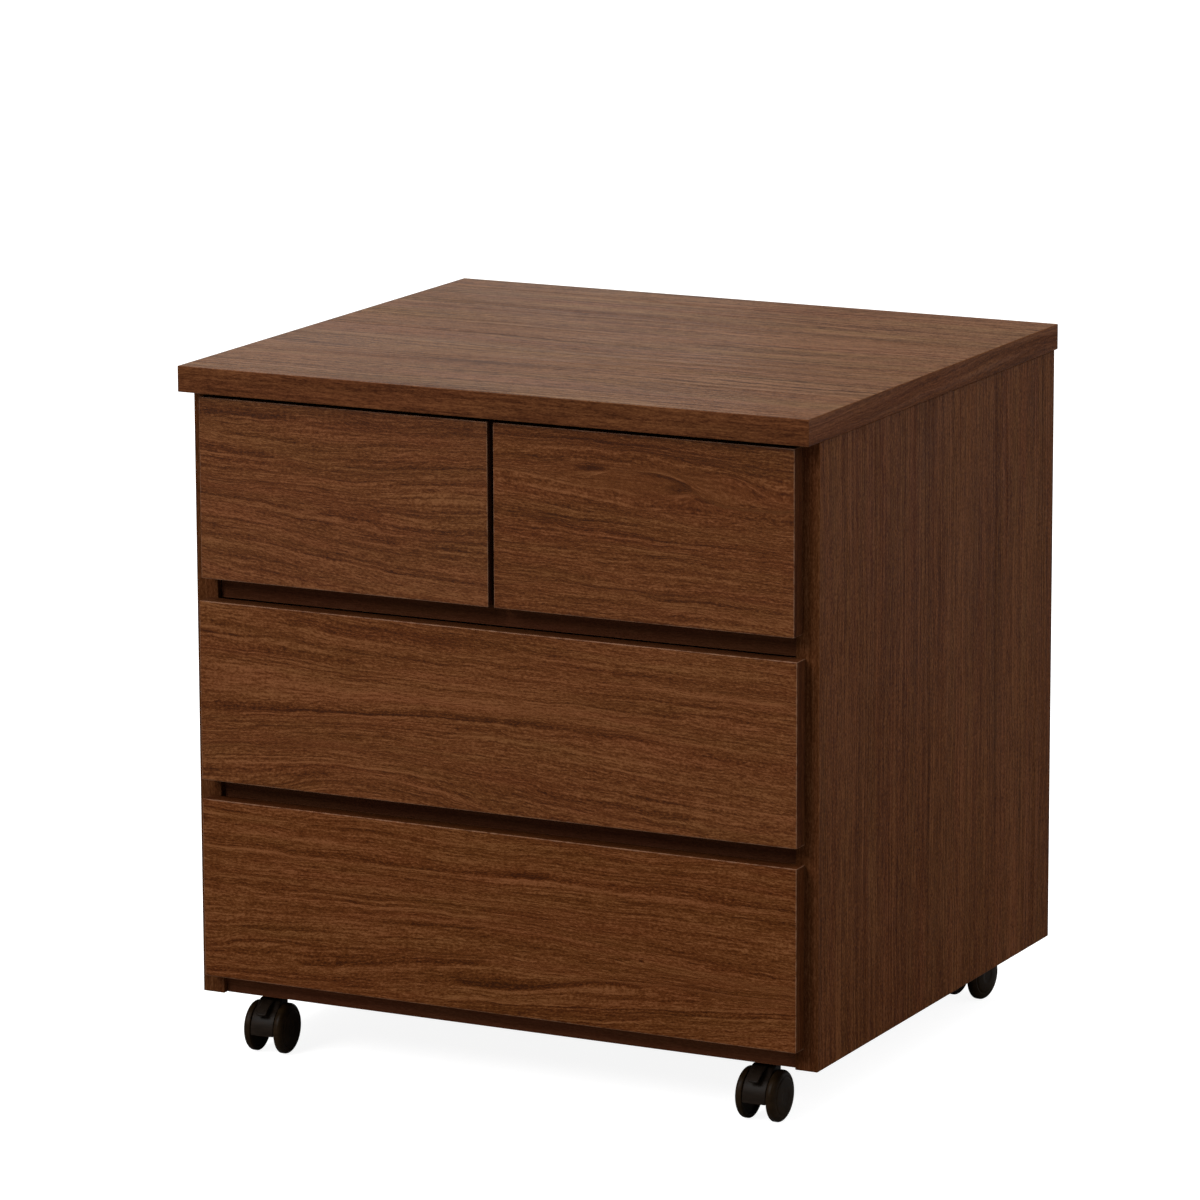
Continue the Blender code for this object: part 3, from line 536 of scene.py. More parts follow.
def makePlastic(name, look):
    values = plasticLooks[look]
    material, place = startMaterial(name, {"Specular IOR Level": values["gloss"]})
    mould = useGroup(mouldGrain, {"Vector": place["Object"], "Texture Size": values["texture"]})
    colour = mixColour(remap(mould["Tint"], 0.35, 0.65), values["dark"], values["light"])
    touch = useGroup(handling, {"Vector": place["Object"], "Facing": place["Normal"]})
    colour = mixColour(touch["Dust"] * 0.10, colour, dustColour)
    rough = mould["Tint"] * 0.12 + values["roughness"]
    return finishMaterial(material, colour, rough, mould["Height"], values["bump"], 0.00012)


steelLook = {"dark": (0.42, 0.42, 0.43), "light": (0.66, 0.66, 0.65), "roughness": 0.27,
             "bump": 0.12}


def makeSteel():
    # Zinc plate: pale cloudy steel with fine turning marks.
    material, place = startMaterial("platedSteel", {"Metallic": 1.0})
    cloud = noise(place["Object"], (240, 240, 240), 3, 0.6)
    colour = mixColour(remap(cloud, 0.35, 0.65), steelLook["dark"], steelLook["light"])
    marks = noise(place["Object"], (120, 120, 5200), 1)
    rough = marks * 0.16 + steelLook["roughness"]
    return finishMaterial(material, colour, rough, marks, steelLook["bump"], 0.00006)


boxFoilAcross = makeBoxFoil("boxFoilAcross", 0)
boxFoilAlong = makeBoxFoil("boxFoilAlong", np.pi / 2)
thinPanel = makeThinPanel()
runnerWood = makeRunnerWood()
hoodPlastic = makePlastic("hoodPlastic", "hood")
wheelPlastic = makePlastic("wheelPlastic", "wheel")
platedSteel = makeSteel()


# Guides are listed from the lowest up, each as its rest level, its height at the board's left
# edge, points between, and its height at the right edge. Marks are (level, darkness, half
# width, start, end), and strokes have a line of their own. With a darkness below nothing a mark
# is light, and with a half width below nothing its sharp side is the upper one. Quiet places
# are ovals: (centre x, centre z, half width, half height).
topLeftFigure = {
    "size": (281, 160),
    "guides": (
        (-78, -65, (-100, -72), (-60, -78), (0, -84), (60, -88), -92),
        (-66, -53, (-100, -57), (-60, -61), (-20, -66), (60, -73), -76),
        (-50, -38, (-60, -45), (-30, -49), (0, -52), (80, -60), -63),
        (-26, -14, (-60, -21), (-30, -25), (20, -30), (80, -32), -33),
        (-13, -4, (-60, -10), (0, -14), (20, -15), (40, -18), (80, -20), -20),
        (17, 15, (-60, 15), (30, 15), (60, 18), (90, 21), 26),
        (34, 36, (-100, 35), (-60, 34), (-20, 31), (40, 32), (80, 35), 39),
        (50, 52, (-80, 49), (-50, 48), (0, 49), (60, 52), (90, 53), 56),
        (67, 66, (-60, 67), (0, 66), (60, 66), 69)),
    "marks": (
        (67, 0.13, 2.8, -160, -45), (67, 0.14, 1.8, -18, 64), (67, 0.12, 2.0, 96, 130),
        (50, 0.15, 1.5, -126, -30), (50, 0.15, 1.5, 12, 96), (34, 0.17, 1.6, -160, -58),
        (33, 0.17, 1.4, -8, 160), (27, 0.12, 1.2, -150, -60), (17, 0.16, 1.3, 38, 150),
        (-13, 0.19, 1.5, -160, -38), (-13, 0.21, 2.2, -30, 44), (-13, 0.13, 1.6, 40, 150),
        (-25, 0.18, 1.8, -95, -4), (-27, 0.20, 2.2, 12, 64), (-27, 0.18, 1.8, 74, 132),
        (-50, 0.15, 1.4, -112, -20), (-51, 0.19, 1.8, -30, 4), (-50, 0.14, 1.5, 30, 96),
        (-68, 0.16, 1.8, -130, -82), (-66, 0.12, 1.4, -20, 60), (41, -0.13, 1.6, -150, -56),
        (8, -0.13, 1.2, -54, -24), (-18, -0.14, 2.0, -62, 6), (-20, -0.13, 1.6, 14, 98),
        (39, -0.12, 1.8, 46, 98), (7, -0.11, 1.6, 70, 132), (-44, -0.12, 1.5, -120, -40))}

topRightFigure = {
    "size": (281, 160),
    "guides": (
        (-60, -57, (0, -57), (60, -58), -61),
        (-48, -46, (-80, -48), (0, -52), (60, -50), -52),
        (-24, -24, (0, -24), (40, -24), -27),
        (-5, 0, (-60, -4), (-20, -7), (10, -8), (60, -9), -12),
        (5, 11, (-110, 8), (-90, 5), (-20, 3), (20, 1), (60, 0), -4),
        (14, 19, (-100, 16), (-70, 13), (0, 10), (40, 7), 4),
        (24, 31, (-100, 28), (-60, 24), (-30, 19.5), (-10, 18), (60, 17), 14),
        (29, 41, (-110, 40), (-90, 36), (-70, 33), (-20, 29), (-5, 26.5), (20, 27), (35, 29),
         (50, 33), (60, 27), 26),
        (43, 46, (-60, 46), (0, 48), (20, 47), (30, 45.5), (40, 42), (50, 36), (60, 30.5), 28.5),
        (54, 52, (-60, 53), (-20, 53), (60, 50), (90, 48.5), (100, 45), (110, 38.5), (118, 35),
         33),
        (62, 62, (-60, 64), (0, 63), (60, 60), (100, 56), 54),
        (72, 71, (0, 71), (60, 68), 66)),
    "marks": (
        (29.5, -0.17, 1.0, -160, 4), (24, -0.17, 1.0, -118, -2), (14, 0.20, 1.6, -86, -58),
        (5, 0.22, 1.5, -102, 4), (-5, 0.15, 1.6, -110, 26), (-5, 0.12, 1.4, 40, 140),
        (-16, -0.12, 2.0, -20, 60), (-24, 0.15, 1.2, -10, 44), (-25, 0.15, 1.4, 52, 86),
        (-38, 0.12, 1.4, -100, -50), (-48, -0.14, 1.0, -150, -20), (-53, 0.16, 1.6, -60, 60),
        (-60, 0.16, 1.7, -10, 150), (-44, -0.14, 1.5, 40, 150), (-70, -0.12, 3.0, 10, 150),
        (62, 0.11, 1.2, -10, 84), (57, 0.10, 1.2, -90, 30), (72, 0.12, 1.2, -160, 70)),
    "quiet": ((20, 40, 110, 19),),
    "strokes": (
        (((-70, 45), (-58, 46.5), (-45, 48), (-28, 50.5)), 0.42, 2.6, -66, -29),
        (((-56, 39), (-48, 41.5), (-40, 44), (-28, 49)), -0.26, 0.9, -52, -29),
        (((-10, 49.5), (0, 49.6), (20, 48.4), (30, 46.6), (40, 42.6), (47, 38.8), (54, 34)), 0.36,
         -1.5, -6, 52),
        (((16, 33), (30, 35), (42, 37), (51, 36)), 0.22, 4.4, 20, 51),
        (((20, 28), (30, 29), (40, 31), (50, 34.5), (54, 37)), -0.15, 1.1, 24, 51),
        (((40, 34), (50, 30), (56, 28), (70, 27)), 0.26, 1.8, 44, 70),
        (((88, 48), (94, 46.5), (100, 43.5), (106, 39.5), (112, 36.5), (120, 34)), 0.28, -1.6, 90,
         118),
        (((90, 49.8), (100, 46), (108, 41), (116, 36.3), (126, 35), (140, 34)), -0.14, 0.9, 91,
         136))}

middleFigure = {
    "size": (573, 160),
    "guides": (
        (-76, -84, (-220, -78), (-200, -73), (-160, -66), (-120, -63), (-60, -68), (-20, -74),
         (20, -80), -88),
        (-64, -64, (-240, -60), (-200, -55), (-140, -52.5), (-100, -54), (-60, -57), (-20, -61),
         (60, -67), (100, -72), -82),
        (-54, -52, (-240, -47), (-140, -43), (-60, -47), (-20, -49), (20, -52), (60, -58),
         (100, -62), (200, -68), -72),
        (-34, -43, (-240, -38), (-160, -31), (-60, -31), (0, -31), (80, -35), (180, -42), -48),
        (-20, -29, (-220, -25), (-160, -19), (-100, -17), (60, -17), (140, -22), -31),
        (-4, -17, (-220, -10), (-160, -6), (-100, -3), (0, 0), (140, 0), (180, -5), -9),
        (24, 31, (-200, 28), (-140, 25), (0, 23), (160, 21), (220, 19), 17),
        (38, 41, (-220, 40), (-140, 37), (-60, 36), (200, 36), 34),
        (60, 77, (-200, 71), (-140, 65), (-80, 62), (0, 58.5), (60, 56), (160, 53), 50)),
    "marks": (
        (60, 0.14, 3.4, -205, -15), (60, 0.16, 1.6, 52, 168), (68, 0.10, 3.0, -140, 80),
        (24.5, 0.16, 1.3, -300, -195), (24, 0.18, 1.5, -158, -92), (24, 0.13, 1.2, -95, 145),
        (24, 0.18, 1.6, 138, 192), (24, 0.16, 1.6, 252, 300), (-4, 0.19, 2.0, -300, 75),
        (-5, 0.16, 2.0, 66, 172), (-6, 0.13, 1.8, 180, 290), (-13, 0.15, 2.0, -50, 24),
        (-33, 0.16, 1.8, -162, -124), (-28, 0.17, 1.6, -122, -78), (-21, 0.16, 1.6, -240, -200),
        (-54, 0.20, 1.8, 36, 192), (-74, 0.20, 2.0, -208, -146), (-71, 0.18, 1.7, -102, -12),
        (-34, 0.12, 1.5, 60, 200), (-44, 0.12, 1.6, 120, 260), (-44, 0.12, 1.6, -290, -180),
        (38, 0.12, 1.4, -260, -120), (36, 0.10, 1.4, 60, 220),
        (-20, -0.15, 1.4, -34, 165), (44, -0.13, 1.6, -236, -136), (10, -0.09, 8.0, -280, 160),
        (-64, -0.17, 1.2, -224, -55), (47, -0.10, 3.0, 130, 280), (-49, -0.12, 1.6, 150, 250))}

lowerFigure = {
    "size": (573, 160),
    "guides": (
        (-74, -84, (-200, -80), (-100, -76), (-40, -71.5), (20, -69), (100, -62), (160, -56),
         (220, -51), -45),
        (-60, -74, (-160, -70), (-120, -66), (-80, -61), (-40, -57.5), (0, -57), (30, -54.5),
         (60, -49), (90, -41.5), (110, -39), (140, -38.5), -38),
        (-46, -61, (-200, -58), (-160, -55), (-120, -50), (-80, -43.5), (-40, -38.5),
         (-10, -36.5), (30, -37), (60, -38), (100, -36.5), (140, -35.5), -34),
        (-34, -50, (-270, -47), (-255, -41), (-240, -39), (-160, -36), (-100, -33), (0, -29),
         -28),
        (-16, -26, (-200, -20), (-100, -11), (-60, -8.5), (-20, -7), (60, -8), (100, -12),
         (140, -15), (200, -19), -22),
        (6, 6, (-220, 5), (-100, 8), (-20, 10), (60, 8), (140, 6), (200, 3), 1),
        (31, 30, (-140, 32), (0, 30), (60, 32), (140, 33), 32),
        (43, 42, (-60, 42), (0, 43.5), (60, 45), (100, 44), (160, 45), (220, 42.5), 42),
        (66, 68, (-260, 66), (-120, 69), (0, 66), (60, 68), (140, 66), (220, 69), 66)),
    "marks": (
        (43, 0.18, 2.2, -300, 60), (43, 0.22, 2.4, 10, 300), (31, 0.14, 1.2, -165, -96),
        (31, 0.18, 1.4, 116, 164), (31, 0.15, 1.3, 196, 300), (-16, 0.22, 1.3, -118, -6),
        (6, 0.18, 1.4, -24, 66), (5, 0.12, 1.6, -240, -190), (-46, 0.24, 2.4, -195, -2),
        (-46, 0.20, 2.0, 96, 300), (-60, 0.26, 2.5, -48, 142), (-60, 0.15, 2.4, -300, -118),
        (-74, -0.20, 1.1, -64, 300), (-78, 0.20, 2.6, 58, 300), (-66, 0.20, 2.4, -165, -104),
        (-34, -0.20, 1.1, -280, -232), (70, 0.14, 2.4, -300, -236), (69, 0.12, 2.0, -70, -36),
        (68, 0.12, 2.0, 56, 140), (18, 0.10, 1.4, -200, -120), (52, -0.10, 3.0, -260, -120),
        (37, -0.12, 1.8, -290, -200), (24, -0.12, 2.0, -290, -180), (-2, -0.09, 3.0, -130, 20),
        (13, 0.09, 1.6, 120, 260), (-12, 0.10, 1.8, 180, 280), (-25, 0.10, 2.0, -260, -150)),
    "strokes": (
        (((-244, -54), (-225, -47), (-210, -43), (-186, -40)), -0.20, 1.1, -242, -188),
        (((104, -21), (120, -19), (132, -16.5), (141, -16)), 0.22, 1.3, 106, 142),
        (((130, -17), (136, -17), (146, -17), (150, -17)), 0.55, 1.4, 138.6, 144.4))}

# each front's own place in the noise, its figure, its gloss and how light it is
frontFigures = {
    "drawer_top_left_front": ((0.31, 0.12, 0.4), topLeftFigure, 0.090, 0.010),
    "drawer_top_right_front": ((1.37, 0.53, 0.9), topRightFigure, 0.070, -0.030),
    "drawer_middle_front": ((2.11, 0.87, 1.7), middleFigure, 0.060, 0.030),
    "drawer_lower_front": ((3.73, 1.31, 2.3), lowerFigure, 0.038, 0.020),
}


def dress(node, material):
    frame["nodes"][node].material_slots[0].material = material


for node, (shift, figure, gloss, lift) in frontFigures.items():
    dress(node, makeWalnut("walnut_" + node, node, "front", "xUpright", shift, figure, gloss,
                           lift, wander=0.0, ripple=0.007))
dress("top_board", makeWalnut("walnut_top", "top_board", "top", "x", (5.2, 0.7, 0.1), gloss=0.045,
                              bandWidth=0.03, lineGap=0.010, wander=0.05))
for side, shift in (("left", (7.9, 2.3, 0.6)), ("right", (9.4, 3.1, 1.2))):
    node = "side_panel_" + side
    dress(node, makeWalnut("walnut_" + node, node, "side", "z", shift, gloss=0.010))
# the rail look darkens these boards as painted shade of the recesses they sit in
for number, node in enumerate((
        "bottom_board", "top_rail_front", "top_rail_rear", "middle_rail_front",
        "middle_rail_rear", "lower_rail_front", "centre_divider")):
    shift = (11.3 + number, 0.4 * number, 2.0)
    dress(node, makeWalnut("walnut_" + node, node, "rail", "x", shift))

for node in frame["nodes"]:
    if node.startswith("runner_"):
        dress(node, runnerWood)
    elif node.startswith("drawer_") and node.endswith("_bottom") or node == "back_panel":
        dress(node, thinPanel)
    elif node.startswith("drawer_") and not node.endswith("_front"):
        dress(node, boxFoilAcross if node.endswith("_back") else boxFoilAlong)
print("boards dressed")


def gridFaces(rows, columns):
    # quads between neighbouring rows and columns, the last column joined to the first
    row, column = np.meshgrid(np.arange(rows - 1) * columns, np.arange(columns), indexing="ij")
    after = (column + 1) % columns
    corners = (row + column, row + after, row + columns + after, row + columns + column)
    return np.stack(corners, -1).reshape(-1, 4)


def sweptSurface(x, y, z):
    # a tube from a grid of points: one row for each section, closed round the section
    grid = np.stack(np.broadcast_arrays(x, y, z), -1)
    return grid.reshape(-1, 3), gridFaces(*grid.shape[:2])


def fullTurn(segments):
    return np.linspace(0, 2 * np.pi, segments, endpoint=False)


def latheSurface(profile, segments):
    # point = (along, radius * cos(turn), radius * sin(turn)) for each profile point and turn
    profile = np.asarray(profile, float)
    turn = fullTurn(segments)
    return sweptSurface(profile[:, :1], profile[:, 1:] * np.cos(turn),
                        profile[:, 1:] * np.sin(turn))


def roundCorners(corners, steps=4):
    # each corner (along, radius, rounding) becomes a quadratic curve between its two sides
    corners = np.asarray(corners, float)
    places, rounding = corners[:, :2], corners[:, 2:]
    before, after = np.roll(places, 1, 0) - places, np.roll(places, -1, 0) - places
    before[0], after[-1] = 0, 0
    reach = []
    for side in (before, after):
        length = np.maximum(np.linalg.norm(side, axis=1, keepdims=True), 1e-9)
        reach.append(side / length * np.minimum(rounding, length * 0.48))
    share = np.linspace(0, 1, steps)[None, :, None]
    start, end = (places + reach[0])[:, None], (places + reach[1])[:, None]
    curve = start * (1 - share) ** 2 + 2 * places[:, None] * share * (1 - share) + end * share ** 2
    return curve.reshape(-1, 2)


def makeMesh(name, points, faces):
    # drops repeated corners, merges the coincident points of seams and poles, then turns
    # every face outwards
    mesh = bpy.data.meshes.new(name)
    mesh.from_pydata(points.tolist(), [], [list(dict.fromkeys(map(int, face))) for face in faces])
    shape = bmesh.new()
    shape.from_mesh(mesh)
    bmesh.ops.remove_doubles(shape, verts=shape.verts, dist=1e-6)
    bmesh.ops.recalc_face_normals(shape, faces=shape.faces)
    shape.to_mesh(mesh)
    shape.free()
    return mesh


def addObject(name, data):
    thing = bpy.data.objects.new(name, data)
    bpy.context.scene.collection.objects.link(thing)
    return thing


sharpAngle = 32        # degrees between two faces, above which their edge stays crisp


def addPiece(name, mesh, material, body, slot, *replaced):
    mesh.materials.clear()
    mesh.materials.append(material)
    mesh.shade_smooth()
    mesh.set_sharp_from_angle(angle=np.radians(sharpAngle))
    piece = addObject(name, mesh)
    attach(piece, body)
    if replaced:
        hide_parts(*replaced)


wheelLook = {
    "radius": 0.0225, "innerFace": 0.0115, "treadWidth": 0.0035, "dome": 0.0052,
    "rimWall": 0.0035, "dish": 0.0030, "hubFace": 0.0040, "hubRadius": 0.0060,
    "boreRadius": 0.0023, "capWall": 0.0018, "ringRadius": 0.0168, "ringWidth": 0.0007,
    "ringDepth": 0.00045, "capRadius": 0.0062, "capDepth": 0.0004, "capBlur": 0.00012,
    "segments": 72,
}

hoodLook = {
    "radius": 0.0222, "wall": 0.0020, "halfWidth": 0.0110, "shoulder": 0.00084,
    "web": 0.0035, "webOverlap": 0.0008, "webGap": 0.02, "cutReach": 0.008, "socketAbove": 0.002,
    "crown": 0.0004, "crownRound": 0.004, "endRound": 0.0006, "skirtSteps": 64,
    "frontAngle": np.radians(-9), "backAngle": np.radians(168), "trail": 0.0085,
    "axleHeight": 0.0225, "bossRadius": 0.0100, "bossFoot": 0.0295, "neckRadius": 0.0112,
    "neckHeight": 0.0032, "top": 0.0509,
    "socketRadius": 0.0038, "socketFloor": 0.0335, "axleBoss": 0.0055, "axleBore": 0.0023,
    "saddleTop": 0.0490, "saddleFlat": 0.0090, "saddleAngle": np.radians(55),
    "saddleRound": 0.0022, "sideGap": 0.0001,
}

# the tongue on the front casters' hoods, in the hood's own Y and Z
stopperLook = {
    "root": (-0.0090, 0.0496), "bend": (-0.0210, 0.0496), "tipRadius": 0.0291,
    "tipAngle": np.radians(34.5), "halfWidth": 0.0050, "thickness": 0.0020, "lip": 0.0006,
    "lipReach": 0.0016, "endRound": 0.0009, "cornerRound": 0.0022, "crowding": 1.6,
    "sideSquare": 0.3, "topSquare": 0.6,
}

stemLook = {
    "foot": 0.0338, "radius": 0.0035, "collarRadius": 0.0085, "collarFoot": 0.0512,
    "collarTop": 0.0527, "shankRadius": 0.0040, "tip": 0.0670, "segments": 48,
}


def wheelMesh():
    # Outer dome: along = crown + dome * sin(a), radius = wheel radius * sqrt(cos(a)),
    # less a shallow ring and a sunk disc over the axle.
    look = wheelLook
    crown = look["innerFace"] + look["treadWidth"]
    outer = crown + look["dome"]
    boreEnd = outer - look["capWall"]
    dish = look["innerFace"] + look["dish"]
    rim = look["radius"] - look["rimWall"]
    inside = roundCorners([
        (boreEnd, 0, 0), (boreEnd, look["boreRadius"], 0.0002),
        (look["hubFace"], look["boreRadius"], 0.0003), (look["hubFace"], look["hubRadius"], 0.0005),
        (dish, look["hubRadius"], 0.0010), (dish, rim, 0.0014), (look["innerFace"], rim, 0.0004),
        (look["innerFace"], look["radius"] - 0.0004, 0.0007),
        (look["innerFace"] + 0.0007, look["radius"], 0.0006),
    ])
    angle = np.linspace(0, np.pi / 2, 46)
    radius = look["radius"] * np.sqrt(np.cos(angle))
    radius[-1] = 0
    along = crown + look["dome"] * np.sin(angle)
    along -= look["ringDepth"] * np.exp(-((radius - look["ringRadius"]) / look["ringWidth"]) ** 2)
    along -= look["capDepth"] / (1 + np.exp((radius - look["capRadius"]) / look["capBlur"]))
    profile = np.concatenate([inside, np.stack([along, radius], -1)])
    return makeMesh("wheel", *latheSurface(profile, look["segments"]))


def skirtSurface():
    # A rounded section swept round the axle; its outer side bulges by crown * (1 - x^2).
    look, steps = hoodLook, hoodLook["skirtSteps"]
    inner, outer, half = look["radius"] - look["wall"], look["radius"], look["halfWidth"]
    shoulder, rounding = outer - look["crown"], look["shoulder"]
    corners = np.array([(-half, inner, rounding), (half, inner, rounding),
                        (half, shoulder, rounding), (0, outer, look["crownRound"]),
                        (-half, shoulder, rounding)])
    # the loop is closed, so it is rounded with its neighbours repeated at both ends
    looped = np.concatenate([corners[-1:], corners, corners[:1]])
    section = roundCorners(looped, 6)[6:-6]
    # the end sections shrink towards their middle, which rounds the two ends
    inset = np.array([0.0, 0.35, 0.7, 0.9, 1.0])
    edge = look["endRound"]
    front, back = look["frontAngle"], look["backAngle"]
    lead = (edge * (1 - np.sqrt(1 - (1 - inset) ** 2)) / outer)[:-1]
    between = np.linspace(front, back, steps)[1:-1]
    turns = np.concatenate([front + lead, between, back - lead[::-1]])
    shrink = np.concatenate([inset[:-1], np.ones(steps - 2), inset[:-1][::-1]])
    middle = section.mean(0)
    reach = np.maximum(np.abs(section - middle).max(0), 1e-9)
    scale = 1 - (1 - shrink)[:, None] * edge / reach
    ring = middle + (section - middle)[None] * scale[:, None, :]
    x, radius = ring[..., 0], ring[..., 1]
    y = -look["trail"] - radius * np.cos(turns)[:, None]
    z = look["axleHeight"] + radius * np.sin(turns)[:, None]
    return closeEnds(*sweptSurface(x, y, z), len(section))


def closeEnds(points, faces, count):
    # two fans from a middle point close the swept section's open ends
    total = len(points)
    first, last = points[:count].mean(0), points[-count:].mean(0)
    ring = np.arange(count)
    after = (ring + 1) % count
    start = np.stack([np.full(count, total), after, ring, ring], -1)
    end = np.stack([np.full(count, total + 1), total - count + ring, total - count + after,
                    total - count + after], -1)
    return np.concatenate([points, [first, last]]), np.concatenate([faces, start, end])


def upright(points):
    # turns a lathe surface's axis from X to Z
    return points[:, [1, 2, 0]]


def turnedSolid(name, profile, segments, centre=None):
    # a lathe solid upright in the hood's middle, or along X with its middle at centre
    points, faces = latheSurface(profile, segments)
    points = upright(points) if centre is None else points + centre
    return addObject(name, makeMesh(name, points, faces))


def combine(base, added, holes):
    # exact booleans, taken into one mesh; the tools are removed again
    for tool in added + holes:
        step = base.modifiers.new(tool.name, "BOOLEAN")
        step.operation = "UNION" if tool in added else "DIFFERENCE"
        step.solver, step.object = "EXACT", tool
    bpy.context.view_layer.update()
    graph = bpy.context.evaluated_depsgraph_get()
    mesh = bpy.data.meshes.new_from_object(base.evaluated_get(graph))
    for thing in [base, *added, *holes]:
        bpy.data.objects.remove(thing, do_unlink=True)
    return mesh


def saddleSurface():
    # Top: level under the neck, then falling by 3s^2 - 2s^3 with the end slope of the hood.
    # Cross-section: a loop that rests inside the shell, with elliptical upper corners.
    look = hoodLook
    endRadius = look["radius"] - look["wall"] / 4
    endY = -look["trail"] - endRadius * np.cos(look["saddleAngle"])
    endZ = look["axleHeight"] + endRadius * np.sin(look["saddleAngle"])
    length = -look["saddleFlat"] - endY
    share = np.concatenate([[0, 0], np.linspace(0, 1, 36)])
    y = -look["saddleFlat"] - length * share
    y[:2] = 0, -look["saddleFlat"] / 2
    top = look["saddleTop"] + (endZ - look["saddleTop"]) * share ** 2 * (3 - 2 * share)
    top += length / np.tan(look["saddleAngle"]) * share ** 2 * (1 - share)
    seatRadius = look["radius"] - look["wall"] * 0.6
    seat = look["axleHeight"] + np.sqrt(seatRadius ** 2 - (y + look["trail"]) ** 2)
    rise = np.minimum(look["saddleRound"], (top - seat) * 0.8)
    corner = np.linspace(0, np.pi / 2, 9)
    half = look["halfWidth"] - look["sideGap"]
    side = half - look["saddleRound"] * (1 - np.cos(corner))
    x = np.concatenate([[-half], -side, side[::-1], [half]])
    climb = np.concatenate([np.sin(corner), np.sin(corner)[::-1]])
    z = top[:, None] - rise[:, None] * (1 - climb)
    z = np.column_stack([seat, z, seat])
    return closeEnds(*sweptSurface(x, y[:, None], z), len(x))


def stopperSurface():
    # A flat bar swept along root (1-s)^2 + bend 2s(1-s) + tip s^2. Its section is a squared
    # ellipse; towards the tip it swells into a lip, and the plan and the end are rounded.
    look = stopperLook
    tip = (-hoodLook["trail"] - look["tipRadius"] * np.cos(look["tipAngle"]),
           hoodLook["axleHeight"] + look["tipRadius"] * np.sin(look["tipAngle"]))
    root, bend, tip = (np.array(place) for place in (look["root"], look["bend"], tip))
    share = (1 - np.linspace(1, 0, 60) ** look["crowding"])[:, None]
    path = root * (1 - share) ** 2 + bend * 2 * share * (1 - share) + tip * share ** 2
    along = (bend - root) * (1 - share) + (tip - bend) * share
    along /= np.linalg.norm(along, axis=1, keepdims=True)
    steps = np.linalg.norm(np.diff(path, axis=0), axis=1)
    left = np.append(np.cumsum(steps[::-1])[::-1], 0.0)
    thick = look["thickness"] + look["lip"] * np.exp(-(left / look["lipReach"]) ** 2)
    under = np.stack([-along[:, 1], along[:, 0]], -1)
    middle = path + under * thick[:, None] / 2
    endShare = np.clip(left / look["endRound"], 0, 1)
    thick = thick * np.maximum(np.sqrt(1 - (1 - endShare) ** 2), 0.02)
    cornerShare = np.clip(left / look["cornerRound"], 0, 1)
    wide = look["halfWidth"] - look["cornerRound"] * (1 - np.sqrt(1 - (1 - cornerShare) ** 2))
    turn = fullTurn(44)
    x = wide[:, None] * np.sign(np.cos(turn)) * np.abs(np.cos(turn)) ** look["sideSquare"]
    off = thick[:, None] / 2 * np.sign(np.sin(turn)) * np.abs(np.sin(turn)) ** look["topSquare"]
    return closeEnds(*sweptSurface(x, middle[:, :1] + under[:, :1] * off,
                                   middle[:, 1:] + under[:, 1:] * off), len(turn))


def webMesh():
    # fills the circle inside the skirt, down to the line between the skirt's ends
    look, gap = hoodLook, hoodLook["webGap"]
    turn = np.linspace(look["frontAngle"] + gap, look["backAngle"] - gap, 60)
    reach = look["radius"] - look["wall"] + look["webOverlap"]
    rim = np.stack([-look["trail"] - reach * np.cos(turn),
                    look["axleHeight"] + reach * np.sin(turn)], -1)
    count = len(rim)
    points = np.column_stack([np.repeat([-look["web"], look["web"]], count),
                              np.tile(rim, (2, 1))])
    band = gridFaces(2, count)
    return makeMesh("web", points, [*band, range(count), range(2 * count - 1, count - 1, -1)])


def hoodMesh(hasStopper):
    look = hoodLook
    top, web, bore, cut = look["top"], look["web"], look["axleBore"], look["cutReach"]
    above = top + look["socketAbove"]
    axle = np.array([0, -look["trail"], look["axleHeight"]])
    shell = addObject("shell", makeMesh("shell", *skirtSurface()))
    neckFoot, neck, boss = top - look["neckHeight"], look["neckRadius"], look["bossRadius"]
    swivelBoss = roundCorners([
        (look["bossFoot"], 0, 0), (look["bossFoot"], boss, 0.0006),
        (neckFoot - 0.0008, boss, 0.0004), (neckFoot + 0.0004, neck, 0.0005),
        (top - 0.0016, neck, 0.0002), (top - 0.0013, neck - 0.0003, 0.0001),
        (top - 0.0010, neck, 0.0002), (top, neck, 0.0005), (top, 0, 0)])
    axleBoss = roundCorners([(-web, 0, 0), (-web, look["axleBoss"], 0.0004),
                             (web, look["axleBoss"], 0.0004), (web, 0, 0)])
    socket = roundCorners([
        (look["socketFloor"], 0, 0), (look["socketFloor"], look["socketRadius"], 0.0003),
        (above, look["socketRadius"], 0), (above, 0, 0)])
    axleHole = [(-cut, 0), (-cut, bore), (cut, bore), (cut, 0)]
    added = [addObject("web", webMesh()), turnedSolid("swivelBoss", swivelBoss, 56),
             turnedSolid("axleBoss", axleBoss, 40, axle),
             addObject("saddle", makeMesh("saddle", *saddleSurface()))]
    if hasStopper:
        added.append(addObject("stopper", makeMesh("stopper", *stopperSurface())))
    holes = [turnedSolid("socket", socket, 40), turnedSolid("bore", axleHole, 32, axle)]
    return combine(shell, added, holes)


def stemMesh():
    look = stemLook
    profile = roundCorners([
        (look["foot"], 0, 0), (look["foot"], look["radius"], 0.0005),
        (look["collarFoot"], look["radius"], 0.0002),
        (look["collarFoot"], look["collarRadius"], 0.0004),
        (look["collarTop"], look["collarRadius"], 0.0004),
        (look["collarTop"], look["shankRadius"], 0.0002),
        (look["tip"], look["shankRadius"], 0.0006), (look["tip"], 0, 0)])
    points, faces = latheSurface(profile, look["segments"])
    return makeMesh("stem", upright(points), faces)


